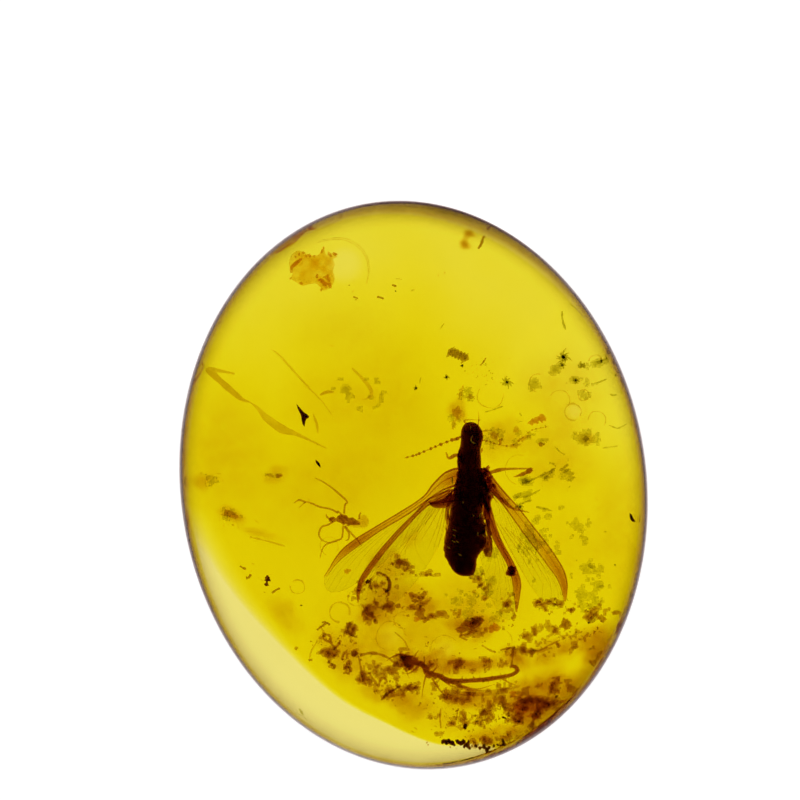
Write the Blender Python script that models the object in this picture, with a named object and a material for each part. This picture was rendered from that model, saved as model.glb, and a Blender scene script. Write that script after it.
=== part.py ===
"""Insect in amber.

A loose, polished oval of amber, resting on its flat base, with a winged
termite, a gnat and forest litter sealed in it on the level where one flow
of resin met the next.

Frame: +Z up, origin at the middle of the flat base, +Y along the long axis
of the oval. Metres. The amber is parted on the level of the inclusions, and
each inclusion lies in a pocket that opens on the parting.
"""
import math
import random

import bmesh
import bpy
from mathutils import Matrix, Vector

for old in list(bpy.data.objects):
    bpy.data.objects.remove(old, do_unlink=True)

MM = 0.001

# ---------------------------------------------------------------- the stone
LENGTH = 25.0 * MM          # along Y
WIDTH = 20.4 * MM           # along X
HEIGHT = 6.8 * MM           # flat base to crown
GIRDLE_Z = 3.0 * MM         # height of the widest line
CROWN_FALL = 0.28           # share of the upper height lost from centre to rim
TOP_ROUND = 0.5 * MM        # rounding of the upper edge
TOP_ROUND_WORN = 1.2 * MM   # the same at the worn end
WORN_ANGLE = math.radians(70.0)
BASE_ROUND = 0.9 * MM       # rounding of the lower edge
ROUND_POWER = 2.2           # 2 is a plain ellipse, more is squarer
PARTING_Z = 3.2 * MM        # level of the inclusions
PARTING_GAP = 0.3 * MM
POCKET_ROOM = 0.34 * MM     # clearance from an inclusion to its pocket

# The inclusions are laid out in a frame turned a little from the oval's axes.
LAYOUT_TURN = math.radians(-8.9)

STONE_SEGMENTS = 56


def spread(x, y):
    """Plan position in mm as seen through the domed top -> true position in m.

    The dome acts as a weak lens, so things lie a little nearer the middle
    than they look.
    """
    return 0.966 * x * MM, (0.972 * y + 0.06) * MM


# ---------------------------------------------------------------- materials
def material(name, colour, roughness, transmission=0.0, ior=1.5, alpha=1.0):
    mat = bpy.data.materials.new(name)
    mat.use_nodes = True
    shader = mat.node_tree.nodes["Principled BSDF"]
    shader.inputs["Base Color"].default_value = (*colour, 1.0)
    shader.inputs["Roughness"].default_value = roughness
    shader.inputs["Metallic"].default_value = 0.0
    shader.inputs["IOR"].default_value = ior
    shader.inputs["Transmission Weight"].default_value = transmission
    shader.inputs["Alpha"].default_value = alpha
    return mat


AMBER = material("amber", (0.80, 0.52, 0.02), 0.03, transmission=1.0, ior=1.54)
CHITIN = material("chitin", (0.020, 0.009, 0.005), 0.35)
GNAT = material("gnat_brown", (0.12, 0.055, 0.015), 0.45)
BARK = material("bark", (0.33, 0.14, 0.02), 0.80)
CHAR = material("char", (0.010, 0.006, 0.005), 0.60)
ROOT = material("rootlet_brown", (0.13, 0.045, 0.012), 0.70)
FRASS = material("frass", (0.17, 0.11, 0.03), 0.75)
LITTER = material("litter_brown", (0.18, 0.085, 0.018), 0.85)
LITTER_DARK = material("litter_dark", (0.075, 0.04, 0.012), 0.85)


# ------------------------------------------------------------ mesh helpers
def new_object(name, bm, mat=None, parent=None, smooth=35.0):
    bmesh.ops.recalc_face_normals(bm, faces=bm.faces)
    if bm.calc_volume(signed=True) < 0.0:
        bmesh.ops.reverse_faces(bm, faces=bm.faces)
    mesh = bpy.data.meshes.new(name)
    bm.to_mesh(mesh)
    bm.free()
    obj = bpy.data.objects.new(name, mesh)
    bpy.context.scene.collection.objects.link(obj)
    if mat:
        mesh.materials.append(mat)
    mesh.shade_smooth()
    mesh.set_sharp_from_angle(angle=math.radians(smooth))
    obj.parent = parent
    return obj


def bridge_rings(bm, rings, closed_ends=True):
    """Join equal closed rings of vertices into a skin and cap its ends."""
    count = len(rings[0])
    for a, b in zip(rings, rings[1:]):
        for k in range(count):
            bm.faces.new((a[k], a[(k + 1) % count], b[(k + 1) % count], b[k]))
    if closed_ends:
        bm.faces.new(list(reversed(rings[0])))
        bm.faces.new(rings[-1])


def tube_mesh(points, radii, sides=6, flatten=1.0):
    """Closed tube through points in mm, with a radius in mm at each."""
    bm = bmesh.new()
    pts = [Vector(p) * MM for p in points]
    rings = []
    for i, p in enumerate(pts):
        ahead = pts[min(i + 1, len(pts) - 1)] - pts[max(i - 1, 0)]
        ahead.normalize()
        side = ahead.cross(Vector((0, 0, 1)))
        if side.length < 1e-6:
            side = Vector((1, 0, 0))
        side.normalize()
        up = side.cross(ahead)
        ring = []
        for k in range(sides):
            a = 2 * math.pi * (k + 0.5) / sides
            ring.append(bm.verts.new(
                p + side * math.cos(a) * radii[i] * MM
                + up * math.sin(a) * radii[i] * MM * flatten))
        rings.append(ring)
    bridge_rings(bm, rings)
    return bm


def smooth_path(points, steps):
    """Evenly stepped Catmull-Rom curve through the given points."""
    pts = [Vector(p) for p in points]
    pts = [2 * pts[0] - pts[1]] + pts + [2 * pts[-1] - pts[-2]]
    out = []
    spans = len(pts) - 3
    for i in range(steps + 1):
        u = spans * i / steps
        j = min(int(u), spans - 1)
        t = u - j
        a, b, c, d = pts[j:j + 4]
        out.append(0.5 * ((2 * b) + (c - a) * t
                          + (2 * a - 5 * b + 4 * c - d) * t * t
                          + (3 * b - a - 3 * c + d) * t ** 3))
    return out


def seat(points, z=0.0):
    """Plan points in mm (x, y or x, y, dz) -> true (x, y, z) in mm."""
    out = []
    for p in points:
        x, y = spread(p[0], p[1])
        dz = p[2] if len(p) > 2 else 0.0
        out.append((x / MM, y / MM, z + dz))
    return out


def plate_mesh(outline, z, thickness):
    """Flat closed plate from a plan outline in mm, centred on height z."""
    bm = bmesh.new()
    low = [bm.verts.new((x * MM, y * MM, (z - thickness / 2) * MM)) for x, y, _ in outline]
    high = [bm.verts.new((x * MM, y * MM, (z + thickness / 2) * MM)) for x, y, _ in outline]
    bridge_rings(bm, [low, high])
    return bm


def lump_mesh(x, y, z, radius, squash, seed, detail=1):
    """Irregular closed grain."""
    rng = random.Random(seed)
    bm = bmesh.new()
    bmesh.ops.create_icosphere(bm, subdivisions=detail, radius=radius * MM)
    turn = Matrix.Rotation(rng.uniform(0, math.tau), 3, "Z")
    stretch = rng.uniform(0.8, 1.2)
    for v in bm.verts:
        v.co *= rng.uniform(0.78, 1.12)
        v.co = turn @ Vector((v.co.x * stretch, v.co.y / stretch, v.co.z * squash))
        v.co += Vector((x, y, z)) * MM
    return bm


def boolean(obj, name, operation, target):
    mod = obj.modifiers.new(name, "BOOLEAN")
    mod.operation = operation
    mod.solver = "EXACT"
    if isinstance(target, bpy.types.Collection):
        mod.operand_type = "COLLECTION"
        mod.collection = target
    else:
        mod.object = target
    return mod


def make_guide(obj):
    """Cutters and limbs that only feed a Boolean."""
    obj.hide_render = True
    obj.display_type = "WIRE"


def guide_collection(name):
    group = bpy.data.collections.new(name)
    bpy.context.scene.collection.children.link(group)
    return group


def add_guide(group, name, bm, parent=None):
    obj = new_object(name, bm, parent=parent)
    bpy.context.scene.collection.objects.unlink(obj)
    group.objects.link(obj)
    make_guide(obj)
    return obj


layout = bpy.data.objects.new("layout", None)
bpy.context.scene.collection.objects.link(layout)
layout.rotation_euler.z = LAYOUT_TURN

pockets = guide_collection("pockets")
Z = PARTING_Z / MM          # inclusion level in mm
ROOM = POCKET_ROOM / MM


# ------------------------------------------------------------------ pockets
def hull_outline(points, reach):
    """Convex plan outline in mm round all the points, reach away from them."""
    cloud = sorted((p[0] + reach * math.cos(math.tau * k / 6), p[1] + reach * math.sin(math.tau * k / 6))
                   for p in points for k in range(6))
    hull = []
    for sweep in (cloud, cloud[::-1]):
        side = []
        for q in sweep:
            while len(side) > 1 and ((side[-1][0] - side[-2][0]) * (q[1] - side[-2][1])
                                     - (side[-1][1] - side[-2][1]) * (q[0] - side[-2][0])) <= 1e-9:
                side.pop()
            side.append(q)
        hull += side[:-1]
    spaced = [hull[0]]
    for q in hull[1:]:
        if math.dist(q, spaced[-1]) > 0.3 and math.dist(q, hull[0]) > 0.3:
            spaced.append(q)
    return [(x, y, 0.0) for x, y in spaced]


def dig_pocket(name, points, reach, half_depth):
    """Room for an inclusion: a short prism that straddles the parting."""
    depth = half_depth + 0.011 * len(pockets.objects)   # no two floors level
    bm = plate_mesh(hull_outline(points, reach), Z, 2 * depth)
    return add_guide(pockets, name + "_room", bm, layout)


# ------------------------------------------------------------------ termite
# Stations of the trunk from head to tail: y, x, half width, half height (mm).
TRUNK = (
    (2.70, 2.39, 0.16, 0.12), (2.58, 2.39, 0.35, 0.25), (2.34, 2.39, 0.47, 0.34),
    (2.08, 2.39, 0.50, 0.36), (1.84, 2.37, 0.45, 0.33), (1.66, 2.35, 0.36, 0.26),
    (1.56, 2.34, 0.36, 0.26), (1.44, 2.33, 0.46, 0.30), (1.15, 2.32, 0.51, 0.33),
    (0.90, 2.34, 0.46, 0.31), (0.60, 2.36, 0.50, 0.36), (0.30, 2.38, 0.54, 0.40),
    (0.00, 2.38, 0.62, 0.42), (-0.38, 2.36, 0.73, 0.43),
)
ABDOMEN_FRONT, ABDOMEN_BACK = -0.62, -3.92
ABDOMEN_SEGMENTS = 9
ABDOMEN_WIDEST = 0.92       # half width (mm), two thirds of the way back


def abdomen_stations():
    """Two stations per segment: a ring swells to its hind edge, then steps in."""
    out = []
    for i in range(ABDOMEN_SEGMENTS):
        for t, swell in ((0.08, 0.95), (0.88, 1.03)):
            u = (i + t) / ABDOMEN_SEGMENTS
            y = ABDOMEN_FRONT + (ABDOMEN_BACK - ABDOMEN_FRONT) * u
            if u < 0.66:
                w = 0.66 + (ABDOMEN_WIDEST - 0.66) * math.sin(math.pi / 2 * u / 0.66) ** 2
            else:
                w = ABDOMEN_WIDEST * math.sqrt(max(0.03, 1 - ((u - 0.66) / 0.345) ** 2))
            x = 2.30 - 0.26 * u
            out.append((y, x, w * swell, 0.55 * w * swell))
    return out


def trunk_mesh(sides=10):
    bm = bmesh.new()
    rings = []
    for y, x, half_w, half_h in list(TRUNK) + abdomen_stations():
        ring = []
        cx, cy = spread(x, y)
        for k in range(sides):
            a = math.tau * k / sides
            ring.append(bm.verts.new((cx + half_w * MM * math.cos(a), cy,
                                      PARTING_Z + half_h * MM * math.sin(a))))
        rings.append(ring)
    bridge_rings(bm, rings)
    return bm


limbs = guide_collection("termite_limbs")


def beaded_path(points, beads, bead, neck):
    """Path and radii of an antenna: a string of beads with narrow necks."""
    path = smooth_path(seat(points, Z), 2 * beads)
    radii = [neck if i % 2 == 0 else bead * (1.0 - 0.25 * i / (2 * beads))
             for i in range(2 * beads + 1)]
    return path, radii


ANTENNA_LEFT = ((2.05, 2.20, 0.10), (1.53, 1.98, 0.12), (1.06, 1.80, 0.10),
                (0.63, 1.61, 0.05), (0.18, 1.41, 0.0), (-0.50, 1.21, -0.05))
ANTENNA_RIGHT = ((2.72, 2.16, 0.10), (3.47, 1.81, 0.12), (4.08, 1.76, 0.08),
                 (4.56, 2.03, 0.03), (4.95, 2.38, 0.0), (5.73, 2.57, -0.05))
for side, line in (("left", ANTENNA_LEFT), ("right", ANTENNA_RIGHT)):
    path, radii = beaded_path(line, 14, 0.09, 0.045)
    add_guide(limbs, "antenna_" + side, tube_mesh(path, radii, sides=5), layout)

# Wings: the stiff leading edge from the hinge to the tip, then the soft
# trailing edge back to the hinge.
FOREWING_Z = Z + 0.24
HINDWING_Z = Z - 0.06
WING_THICKNESS = 0.11
WINGS = {
    "forewing_left": (FOREWING_Z, (
        (2.15, 0.80), (1.77, 0.78), (1.15, 0.50), (0.70, 0.01), (0.40, -0.43),
        (-0.05, -0.79), (-1.29, -1.54), (-2.62, -2.34), (-3.15, -2.74),
        (-3.50, -3.13), (-3.80, -3.60), (-3.99, -4.05)), (
        (-3.92, -4.45), (-3.50, -4.62), (-2.70, -4.30), (-1.40, -3.30),
        (-0.10, -2.10), (1.00, -0.95), (1.75, -0.10), (2.20, 0.20))),
    "hindwing_left": (HINDWING_Z, (
        (2.10, 0.05), (1.30, -0.15), (0.52, -0.56), (0.04, -1.09), (-0.40, -1.54),
        (-1.15, -2.34), (-1.95, -3.31), (-2.26, -3.75), (-2.48, -4.15),
        (-2.56, -4.62), (-2.53, -5.10)), (
        (-2.25, -5.50), (-1.65, -5.55), (-0.75, -4.95), (0.25, -3.80),
        (1.05, -2.45), (1.45, -1.30), (2.15, -0.45))),
    "forewing_right": (FOREWING_Z, (
        (2.65, 0.80), (3.05, 0.76), (3.49, 0.13), (3.95, -0.40), (4.55, -1.06),
        (5.08, -1.79), (5.61, -2.46), (6.08, -3.12), (6.41, -3.72),
        (6.54, -4.25), (6.51, -4.92)), (
        (6.25, -5.32), (5.75, -5.25), (5.10, -4.50), (4.35, -3.25),
        (3.60, -1.85), (3.00, -0.60), (2.60, 0.10))),
    "hindwing_right": (HINDWING_Z, (
        (2.60, 0.05), (3.05, -0.10), (3.22, -0.86), (3.49, -1.79), (3.82, -2.59),
        (4.22, -3.32), (4.49, -3.92), (4.53, -4.58), (4.42, -5.38)), (
        (4.15, -5.80), (3.70, -5.65), (3.20, -4.70), (2.85, -3.40),
        (2.62, -2.00), (2.50, -0.60))),
}
for name, (z, leading, trailing) in WINGS.items():
    outline = seat(leading + trailing)
    add_guide(limbs, name, plate_mesh(outline, z, WING_THICKNESS), layout)
    spine = smooth_path(seat(leading, z), 10)
    radii = [0.125 - 0.055 * i / 10 for i in range(11)]
    add_guide(limbs, name + "_edge", tube_mesh(spine, radii, sides=6, flatten=0.8), layout)

# Legs: from the thorax out, each thinning to its claw.
LEGS = {
    "fore_left": ((2.30, 0.95, -0.25), (1.75, 1.25, -0.35), (1.30, 1.02, -0.38)),
    "fore_right": ((2.45, 0.55, -0.25), (3.02, 0.50, -0.30), (3.75, 0.70, -0.32),
                   (4.42, 0.74, -0.32), (5.08, 0.73, -0.30)),
    "mid_left": ((2.30, 0.20, -0.25), (1.62, -0.05, -0.35), (1.18, -0.62, -0.38)),
    "mid_right": ((2.50, 0.10, -0.25), (3.21, -0.18, -0.34), (3.73, -0.62, -0.36),
                  (4.17, -0.96, -0.36), (4.88, -1.16, -0.34)),
    "hind_left": ((2.25, -0.40, -0.25), (1.45, -0.95, -0.36), (1.12, -1.75, -0.40)),
    "hind_right": ((2.45, -0.45, -0.25), (3.15, -1.05, -0.36), (3.42, -1.75, -0.40)),
}
for name, line in LEGS.items():
    path = smooth_path(seat(line, Z), 6)
    radii = [0.13, 0.12, 0.10, 0.085, 0.07, 0.06, 0.045]
    add_guide(limbs, "leg_" + name, tube_mesh(path, radii, sides=5), layout)

termite = new_object("termite", trunk_mesh(), CHITIN, layout)
boolean(termite, "limbs", "UNION", limbs)

trunk_line = seat([(x + side * w, y) for y, x, w, _ in list(TRUNK) + abdomen_stations()
                   for side in (-1, 1)])
dig_pocket("trunk", trunk_line, ROOM, 0.52 + ROOM)
for name, (z, leading, trailing) in WINGS.items():
    dig_pocket(name, seat(leading + trailing), 0.12 + ROOM, 0.32 + ROOM)
dig_pocket("antenna_left", seat(ANTENNA_LEFT), 0.10 + ROOM, 0.20 + ROOM)
dig_pocket("antenna_right", seat(ANTENNA_RIGHT), 0.10 + ROOM, 0.20 + ROOM)
for name, line in LEGS.items():
    dig_pocket("leg_" + name, seat(line), 0.12 + ROOM, 0.50 + ROOM)

# --------------------------------------------------------------------- gnat
gnat_limbs = guide_collection("gnat_limbs")
GNAT_TRUNK = ((-3.68, -1.50, 0.06), (-3.60, -1.48, 0.14), (-3.46, -1.46, 0.13),
              (-3.36, -1.45, 0.10), (-3.20, -1.44, 0.19), (-3.02, -1.47, 0.20),
              (-2.88, -1.50, 0.12), (-2.70, -1.54, 0.14), (-2.50, -1.60, 0.11),
              (-2.40, -1.62, 0.04))
GNAT_LEGS = (
    ((-3.02, -1.40), (-2.95, -0.75), (-3.47, -0.40), (-4.17, 0.21)),
    ((-3.30, -1.36), (-3.60, -0.98), (-4.17, -0.92), (-5.09, -1.01)),
    ((-3.45, -1.52), (-3.80, -1.80), (-4.15, -1.89), (-4.52, -1.85)),
    ((-3.12, -1.55), (-3.21, -2.29), (-3.91, -2.56), (-4.17, -2.87)),
    ((-3.00, -1.55), (-2.85, -2.05), (-2.53, -2.42)),
    ((-3.20, -1.40), (-3.42, -0.80), (-3.95, -0.48)),
)
GNAT_WINGS = (
    ((-3.05, -1.42), (-2.80, -1.28), (-2.40, -1.30), (-2.12, -1.45), (-2.10, -1.62),
     (-2.35, -1.72), (-2.75, -1.62)),
    ((-3.18, -1.50), (-2.98, -1.66), (-2.66, -1.88), (-2.42, -1.86), (-2.40, -1.72),
     (-2.70, -1.58)),
)
for i, line in enumerate(GNAT_LEGS):
    path = smooth_path(seat(line, Z - 0.02), 6)
    add_guide(gnat_limbs, "gnat_leg_%d" % (i + 1),
              tube_mesh(path, [0.045, 0.042, 0.038, 0.034, 0.030, 0.026, 0.022], sides=4), layout)
for i, outline in enumerate(GNAT_WINGS):
    add_guide(gnat_limbs, "gnat_wing_%d" % (i + 1),
              plate_mesh(seat(outline), Z + 0.09 - 0.03 * i, 0.05), layout)
gnat_path = seat([(x, y, 0.0) for x, y, _ in GNAT_TRUNK], Z)
gnat = new_object("gnat", tube_mesh(gnat_path, [r for _, _, r in GNAT_TRUNK], sides=8,
                                    flatten=0.85), GNAT, layout)
boolean(gnat, "limbs", "UNION", gnat_limbs)
dig_pocket("gnat", seat([p for line in GNAT_LEGS for p in line]) + gnat_path, 0.06 + ROOM,
           0.18 + ROOM)


# --------------------------------------------------------------- flat flakes
def flake_mesh(outline, z, thickness, seed, rough):
    """Irregular flat flake: a rim and an uneven, thicker middle."""
    rng = random.Random(seed)
    bm = bmesh.new()
    cx = sum(p[0] for p in outline) / len(outline)
    cy = sum(p[1] for p in outline) / len(outline)
    rings = []
    for share, lift in ((0.0, 0.0), (0.55, 1.0)):
        for up in (1, -1):
            ring = []
            for x, y, _ in outline:
                h = (0.30 + 0.55 * lift + rough * rng.uniform(-0.5, 0.5)) * thickness / 2
                ring.append(bm.verts.new(((x + (cx - x) * share) * MM,
                                          (y + (cy - y) * share) * MM, (z + up * h) * MM)))
            rings.append(ring)
    rim_top, rim_low, mid_top, mid_low = rings
    n = len(outline)
    for a, b in ((mid_top, rim_top), (rim_top, rim_low), (rim_low, mid_low)):
        for k in range(n):
            bm.faces.new((a[k], a[(k + 1) % n], b[(k + 1) % n], b[k]))
    bm.faces.new(list(reversed(mid_top)))
    bm.faces.new(mid_low)
    return bm


BARK_OUTLINE = ((-5.51, 9.62), (-5.38, 9.98), (-5.00, 10.05), (-4.62, 10.32), (-4.26, 10.22),
                (-3.80, 10.20), (-3.50, 9.86), (-3.62, 9.50), (-3.40, 9.15), (-3.72, 8.92),
                (-3.66, 8.56), (-4.08, 8.41), (-4.60, 8.63), (-5.02, 8.88), (-5.28, 9.22))
new_object("bark_flake", flake_mesh(seat(BARK_OUTLINE), Z, 0.42, 3, 0.5), BARK, layout)
dig_pocket("bark_flake", seat(BARK_OUTLINE), ROOM, 0.30 + ROOM)

CHIP_ARROW = ((-5.19, 3.56), (-5.00, 3.36), (-4.70, 3.12), (-4.62, 2.98), (-4.76, 2.86),
              (-4.82, 2.58), (-4.92, 2.66), (-5.00, 3.02), (-5.12, 3.30))
CHIP_SPECK = ((-4.42, 1.14), (-4.28, 1.10), (-4.12, 0.86), (-4.16, 0.74), (-4.30, 0.86))
CHIP_EDGE = ((9.24, -1.10), (9.34, -1.18), (9.46, -1.46), (9.36, -1.58), (9.22, -1.36))
for name, outline, seed in (("char_chip_arrow", CHIP_ARROW, 5), ("char_chip_speck", CHIP_SPECK, 6),
                            ("char_chip_edge", CHIP_EDGE, 7)):
    new_object(name, flake_mesh(seat(outline), Z, 0.22, seed, 0.4), CHAR, layout)
    dig_pocket(name, seat(outline), ROOM, 0.14 + ROOM)

# Two runs of black grains along the edge of the deeper flow, each run fused.
CHAR_RUNS = {
    "char_row_left": ((1.14, -11.08, 0.17), (1.38, -11.14, 0.18), (1.62, -11.16, 0.17),
                      (1.86, -11.20, 0.18), (2.08, -11.26, 0.16)),
    "char_row_right": ((2.95, -11.28, 0.14), (3.16, -11.33, 0.15), (3.38, -11.33, 0.15),
                       (3.60, -11.29, 0.14)),
}
for name, grains in CHAR_RUNS.items():
    group = guide_collection(name + "_grains")
    for i, (x, y, r) in enumerate(grains[1:]):
        gx, gy, _ = seat([(x, y)])[0]
        add_guide(group, "%s_grain_%d" % (name, i + 2),
                  lump_mesh(gx, gy, Z, r, 0.8, 40 + i + len(name)), layout)
    gx, gy, _ = seat([grains[0][:2]])[0]
    run = new_object(name, lump_mesh(gx, gy, Z, grains[0][2], 0.8, 31), CHAR, layout)
    boolean(run, "grains", "UNION", group)
    dig_pocket(name, seat([g[:2] for g in grains]), 0.18 + ROOM, 0.16 + ROOM)

# ------------------------------------------------------------------ rootlet
ROOTLET = ((-0.74, -7.30), (-0.30, -7.52), (0.20, -7.66), (0.48, -8.05), (0.97, -8.26),
           (1.60, -8.46), (2.36, -8.50), (3.10, -8.42), (3.70, -8.36), (4.25, -8.20),
           (4.40, -7.95), (4.18, -7.78))
BRISTLES = 14
rootlet_bristles = guide_collection("rootlet_bristles")
root_path = smooth_path(seat(ROOTLET, Z), 22)
root_radii = [0.10 + 0.03 * math.sin(1.9 * i) - 0.035 * i / 22 for i in range(23)]
rng = random.Random(17)
for i in range(BRISTLES):
    at = root_path[1 + int(i * 21 / BRISTLES)]
    turn = rng.uniform(0.25 * math.pi, 0.75 * math.pi) * (1 if i % 2 else -1)
    reach = rng.uniform(0.22, 0.50)
    tip = at + Vector((math.cos(turn) * reach, math.sin(turn) * reach, rng.uniform(-0.1, 0.1)))
    add_guide(rootlet_bristles, "bristle_%02d" % (i + 1),
              tube_mesh([at, (at + tip) / 2, tip], [0.045, 0.035, 0.02], sides=4), layout)
rootlet = new_object("rootlet", tube_mesh(root_path, root_radii, sides=5), ROOT, layout)
boolean(rootlet, "bristles", "UNION", rootlet_bristles)
dig_pocket("rootlet", root_path, 0.50 + ROOM, 0.20 + ROOM)

# ------------------------------------------------------------ ringed pellet
PELLET_ENDS = ((1.37, 5.88), (2.31, 5.50))
PELLET_RINGS = 6
pellet_path, pellet_radii = [], []
for i in range(2 * PELLET_RINGS + 1):
    u = i / (2 * PELLET_RINGS)
    x = PELLET_ENDS[0][0] + (PELLET_ENDS[1][0] - PELLET_ENDS[0][0]) * u
    y = PELLET_ENDS[0][1] + (PELLET_ENDS[1][1] - PELLET_ENDS[0][1]) * u
    pellet_path.append((x, y + 0.05 * math.sin(math.pi * u)))
    pellet_radii.append((0.22 if i % 2 else 0.185) * math.sqrt(max(0.12, 1 - (2 * u - 1) ** 4)))
new_object("pellet", tube_mesh(seat(pellet_path, Z), pellet_radii, sides=9, flatten=0.85),
           FRASS, layout)
dig_pocket("pellet", seat(PELLET_ENDS), 0.26 + ROOM, 0.20 + ROOM)

# ------------------------------------------------------------------- crumbs
# The larger lumps of litter: x, y, radius (mm), squash, dark or brown.
CRUMBS = (
    (2.50, -6.10, 0.44, 0.6, "d"), (3.42, -6.24, 0.30, 0.6, "b"), (6.51, -5.98, 0.33, 0.7, "b"),
    (8.11, -5.78, 0.26, 0.7, "d"), (6.17, -6.91, 0.18, 0.8, "d"), (2.12, -10.46, 0.17, 0.9, "d"),
    (3.04, -10.13, 0.26, 0.7, "b"), (4.69, -9.69, 0.39, 0.6, "b"), (6.63, -9.67, 0.18, 0.8, "d"),
    (1.17, -9.17, 0.22, 0.7, "b"), (0.30, -5.75, 0.33, 0.6, "b"), (-3.00, -6.13, 0.26, 0.7, "d"),
    (-3.78, -7.24, 0.26, 0.7, "d"), (-6.45, -4.16, 0.20, 0.9, "d"), (-2.67, -7.29, 0.20, 0.8, "b"),
    (-0.30, -8.81, 0.22, 0.8, "b"), (-1.22, -8.95, 0.22, 0.8, "b"), (6.40, 5.46, 0.24, 0.8, "d"),
    (7.53, 4.47, 0.24, 0.7, "d"), (5.31, 3.15, 0.30, 0.5, "b"), (7.38, 2.03, 0.26, 0.7, "d"),
    (1.74, 3.60, 0.26, 0.6, "b"), (2.10, 4.35, 0.17, 0.7, "b"), (7.80, -3.45, 0.24, 0.7, "d"),
    (-7.99, -1.31, 0.33, 0.5, "b"), (-5.95, 0.43, 0.22, 0.6, "b"), (-1.95, -6.35, 0.24, 0.7, "b"),
)
for i, (x, y, radius, squash, tone) in enumerate(CRUMBS):
    name = "crumb_%02d" % (i + 1)
    gx, gy, _ = seat([(x, y)])[0]
    mesh = lump_mesh(gx, gy, Z, radius * 0.9, squash, 100 + i)
    new_object(name, mesh, LITTER_DARK if tone == "d" else LITTER, layout)
    dig_pocket(name, [(gx, gy)], radius * 1.22 + ROOM, radius * squash + ROOM)


# -------------------------------------------------------------------- stone
def oval_radius(theta, a, b):
    return 1.0 / math.hypot(math.cos(theta) / a, math.sin(theta) / b)


def top_rounding(theta):
    worn = max(0.0, math.cos(theta - WORN_ANGLE)) ** 8
    return TOP_ROUND + (TOP_ROUND_WORN - TOP_ROUND) * worn


def upper_point(theta, t):
    """Point of the upper surface; t runs 0 (girdle) to 1 (rounding's end) to 2 (centre)."""
    edge = oval_radius(theta, WIDTH / 2, LENGTH / 2)
    inner = edge - top_rounding(theta)
    if t <= 1.0:
        a = t * math.pi / 2
        r = inner + top_rounding(theta) * max(0.0, math.cos(a)) ** (2 / ROUND_POWER)
        rise = math.sin(a) ** (2 / ROUND_POWER)
    else:
        r, rise = inner * (2.0 - t), 1.0
    fall = 1.0 - CROWN_FALL * (r / edge) ** 2
    return r, GIRDLE_Z + (HEIGHT - GIRDLE_Z) * fall * rise


def lower_point(theta, t):
    """Point of the lower surface; t runs 0 (girdle) to 1 (the flat base)."""
    edge = oval_radius(theta, WIDTH / 2, LENGTH / 2)
    a = t * math.pi / 2
    r = edge - BASE_ROUND + BASE_ROUND * max(0.0, math.cos(a)) ** (2 / ROUND_POWER)
    return r, GIRDLE_Z * (1.0 - math.sin(a) ** (2 / ROUND_POWER))


def stone_mesh():
    bm = bmesh.new()
    rings = []
    for t in (1.0, 0.82, 0.60, 0.34):
        rings.append([lower_point(math.tau * k / STONE_SEGMENTS, t) for k in range(STONE_SEGMENTS)])
    for t in (0.0, 0.25, 0.48, 0.70, 0.88, 1.0, 1.30, 1.65):
        rings.append([upper_point(math.tau * k / STONE_SEGMENTS, t) for k in range(STONE_SEGMENTS)])
    loops = []
    for ring in rings:
        loops.append([bm.verts.new((r * math.cos(math.tau * k / STONE_SEGMENTS),
                                    r * math.sin(math.tau * k / STONE_SEGMENTS), z))
                      for k, (r, z) in enumerate(ring)])
    bridge_rings(bm, loops, closed_ends=False)
    bm.faces.new(list(reversed(loops[0])))
    crown = bm.verts.new((0.0, 0.0, HEIGHT))
    last = loops[-1]
    for k in range(STONE_SEGMENTS):
        bm.faces.new((last[k], last[(k + 1) % STONE_SEGMENTS], crown))
    return bm


def block(name, z_low, z_high):
    bm = bmesh.new()
    bmesh.ops.create_cube(bm, size=1.0)
    for v in bm.verts:
        v.co = Vector((v.co.x * 2 * LENGTH, v.co.y * 2 * LENGTH,
                       z_low if v.co.z < 0 else z_high))
    obj = new_object(name, bm)
    make_guide(obj)
    return obj


below = block("below_parting", -HEIGHT, PARTING_Z + PARTING_GAP / 2)
above = block("above_parting", PARTING_Z - PARTING_GAP / 2, 2 * HEIGHT)
for name, far_side in (("amber_top", below), ("amber_base", above)):
    half = new_object(name, stone_mesh(), AMBER)
    boolean(half, "parting", "DIFFERENCE", far_side)
    boolean(half, "pockets", "DIFFERENCE", pockets)
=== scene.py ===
"""Looks of the insect in amber: the clear stone, the golden flow inside it and
everything sealed in them, on a pale lit floor.

Places come from the view: at(u, v, z) gives the point at height z that the
camera sees at (u, v), through the domed top of the stone. Metres, +Z up.
"""
import bisect
import math
import random

import bmesh
import bpy
from mathutils import Matrix, Vector, noise


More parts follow.
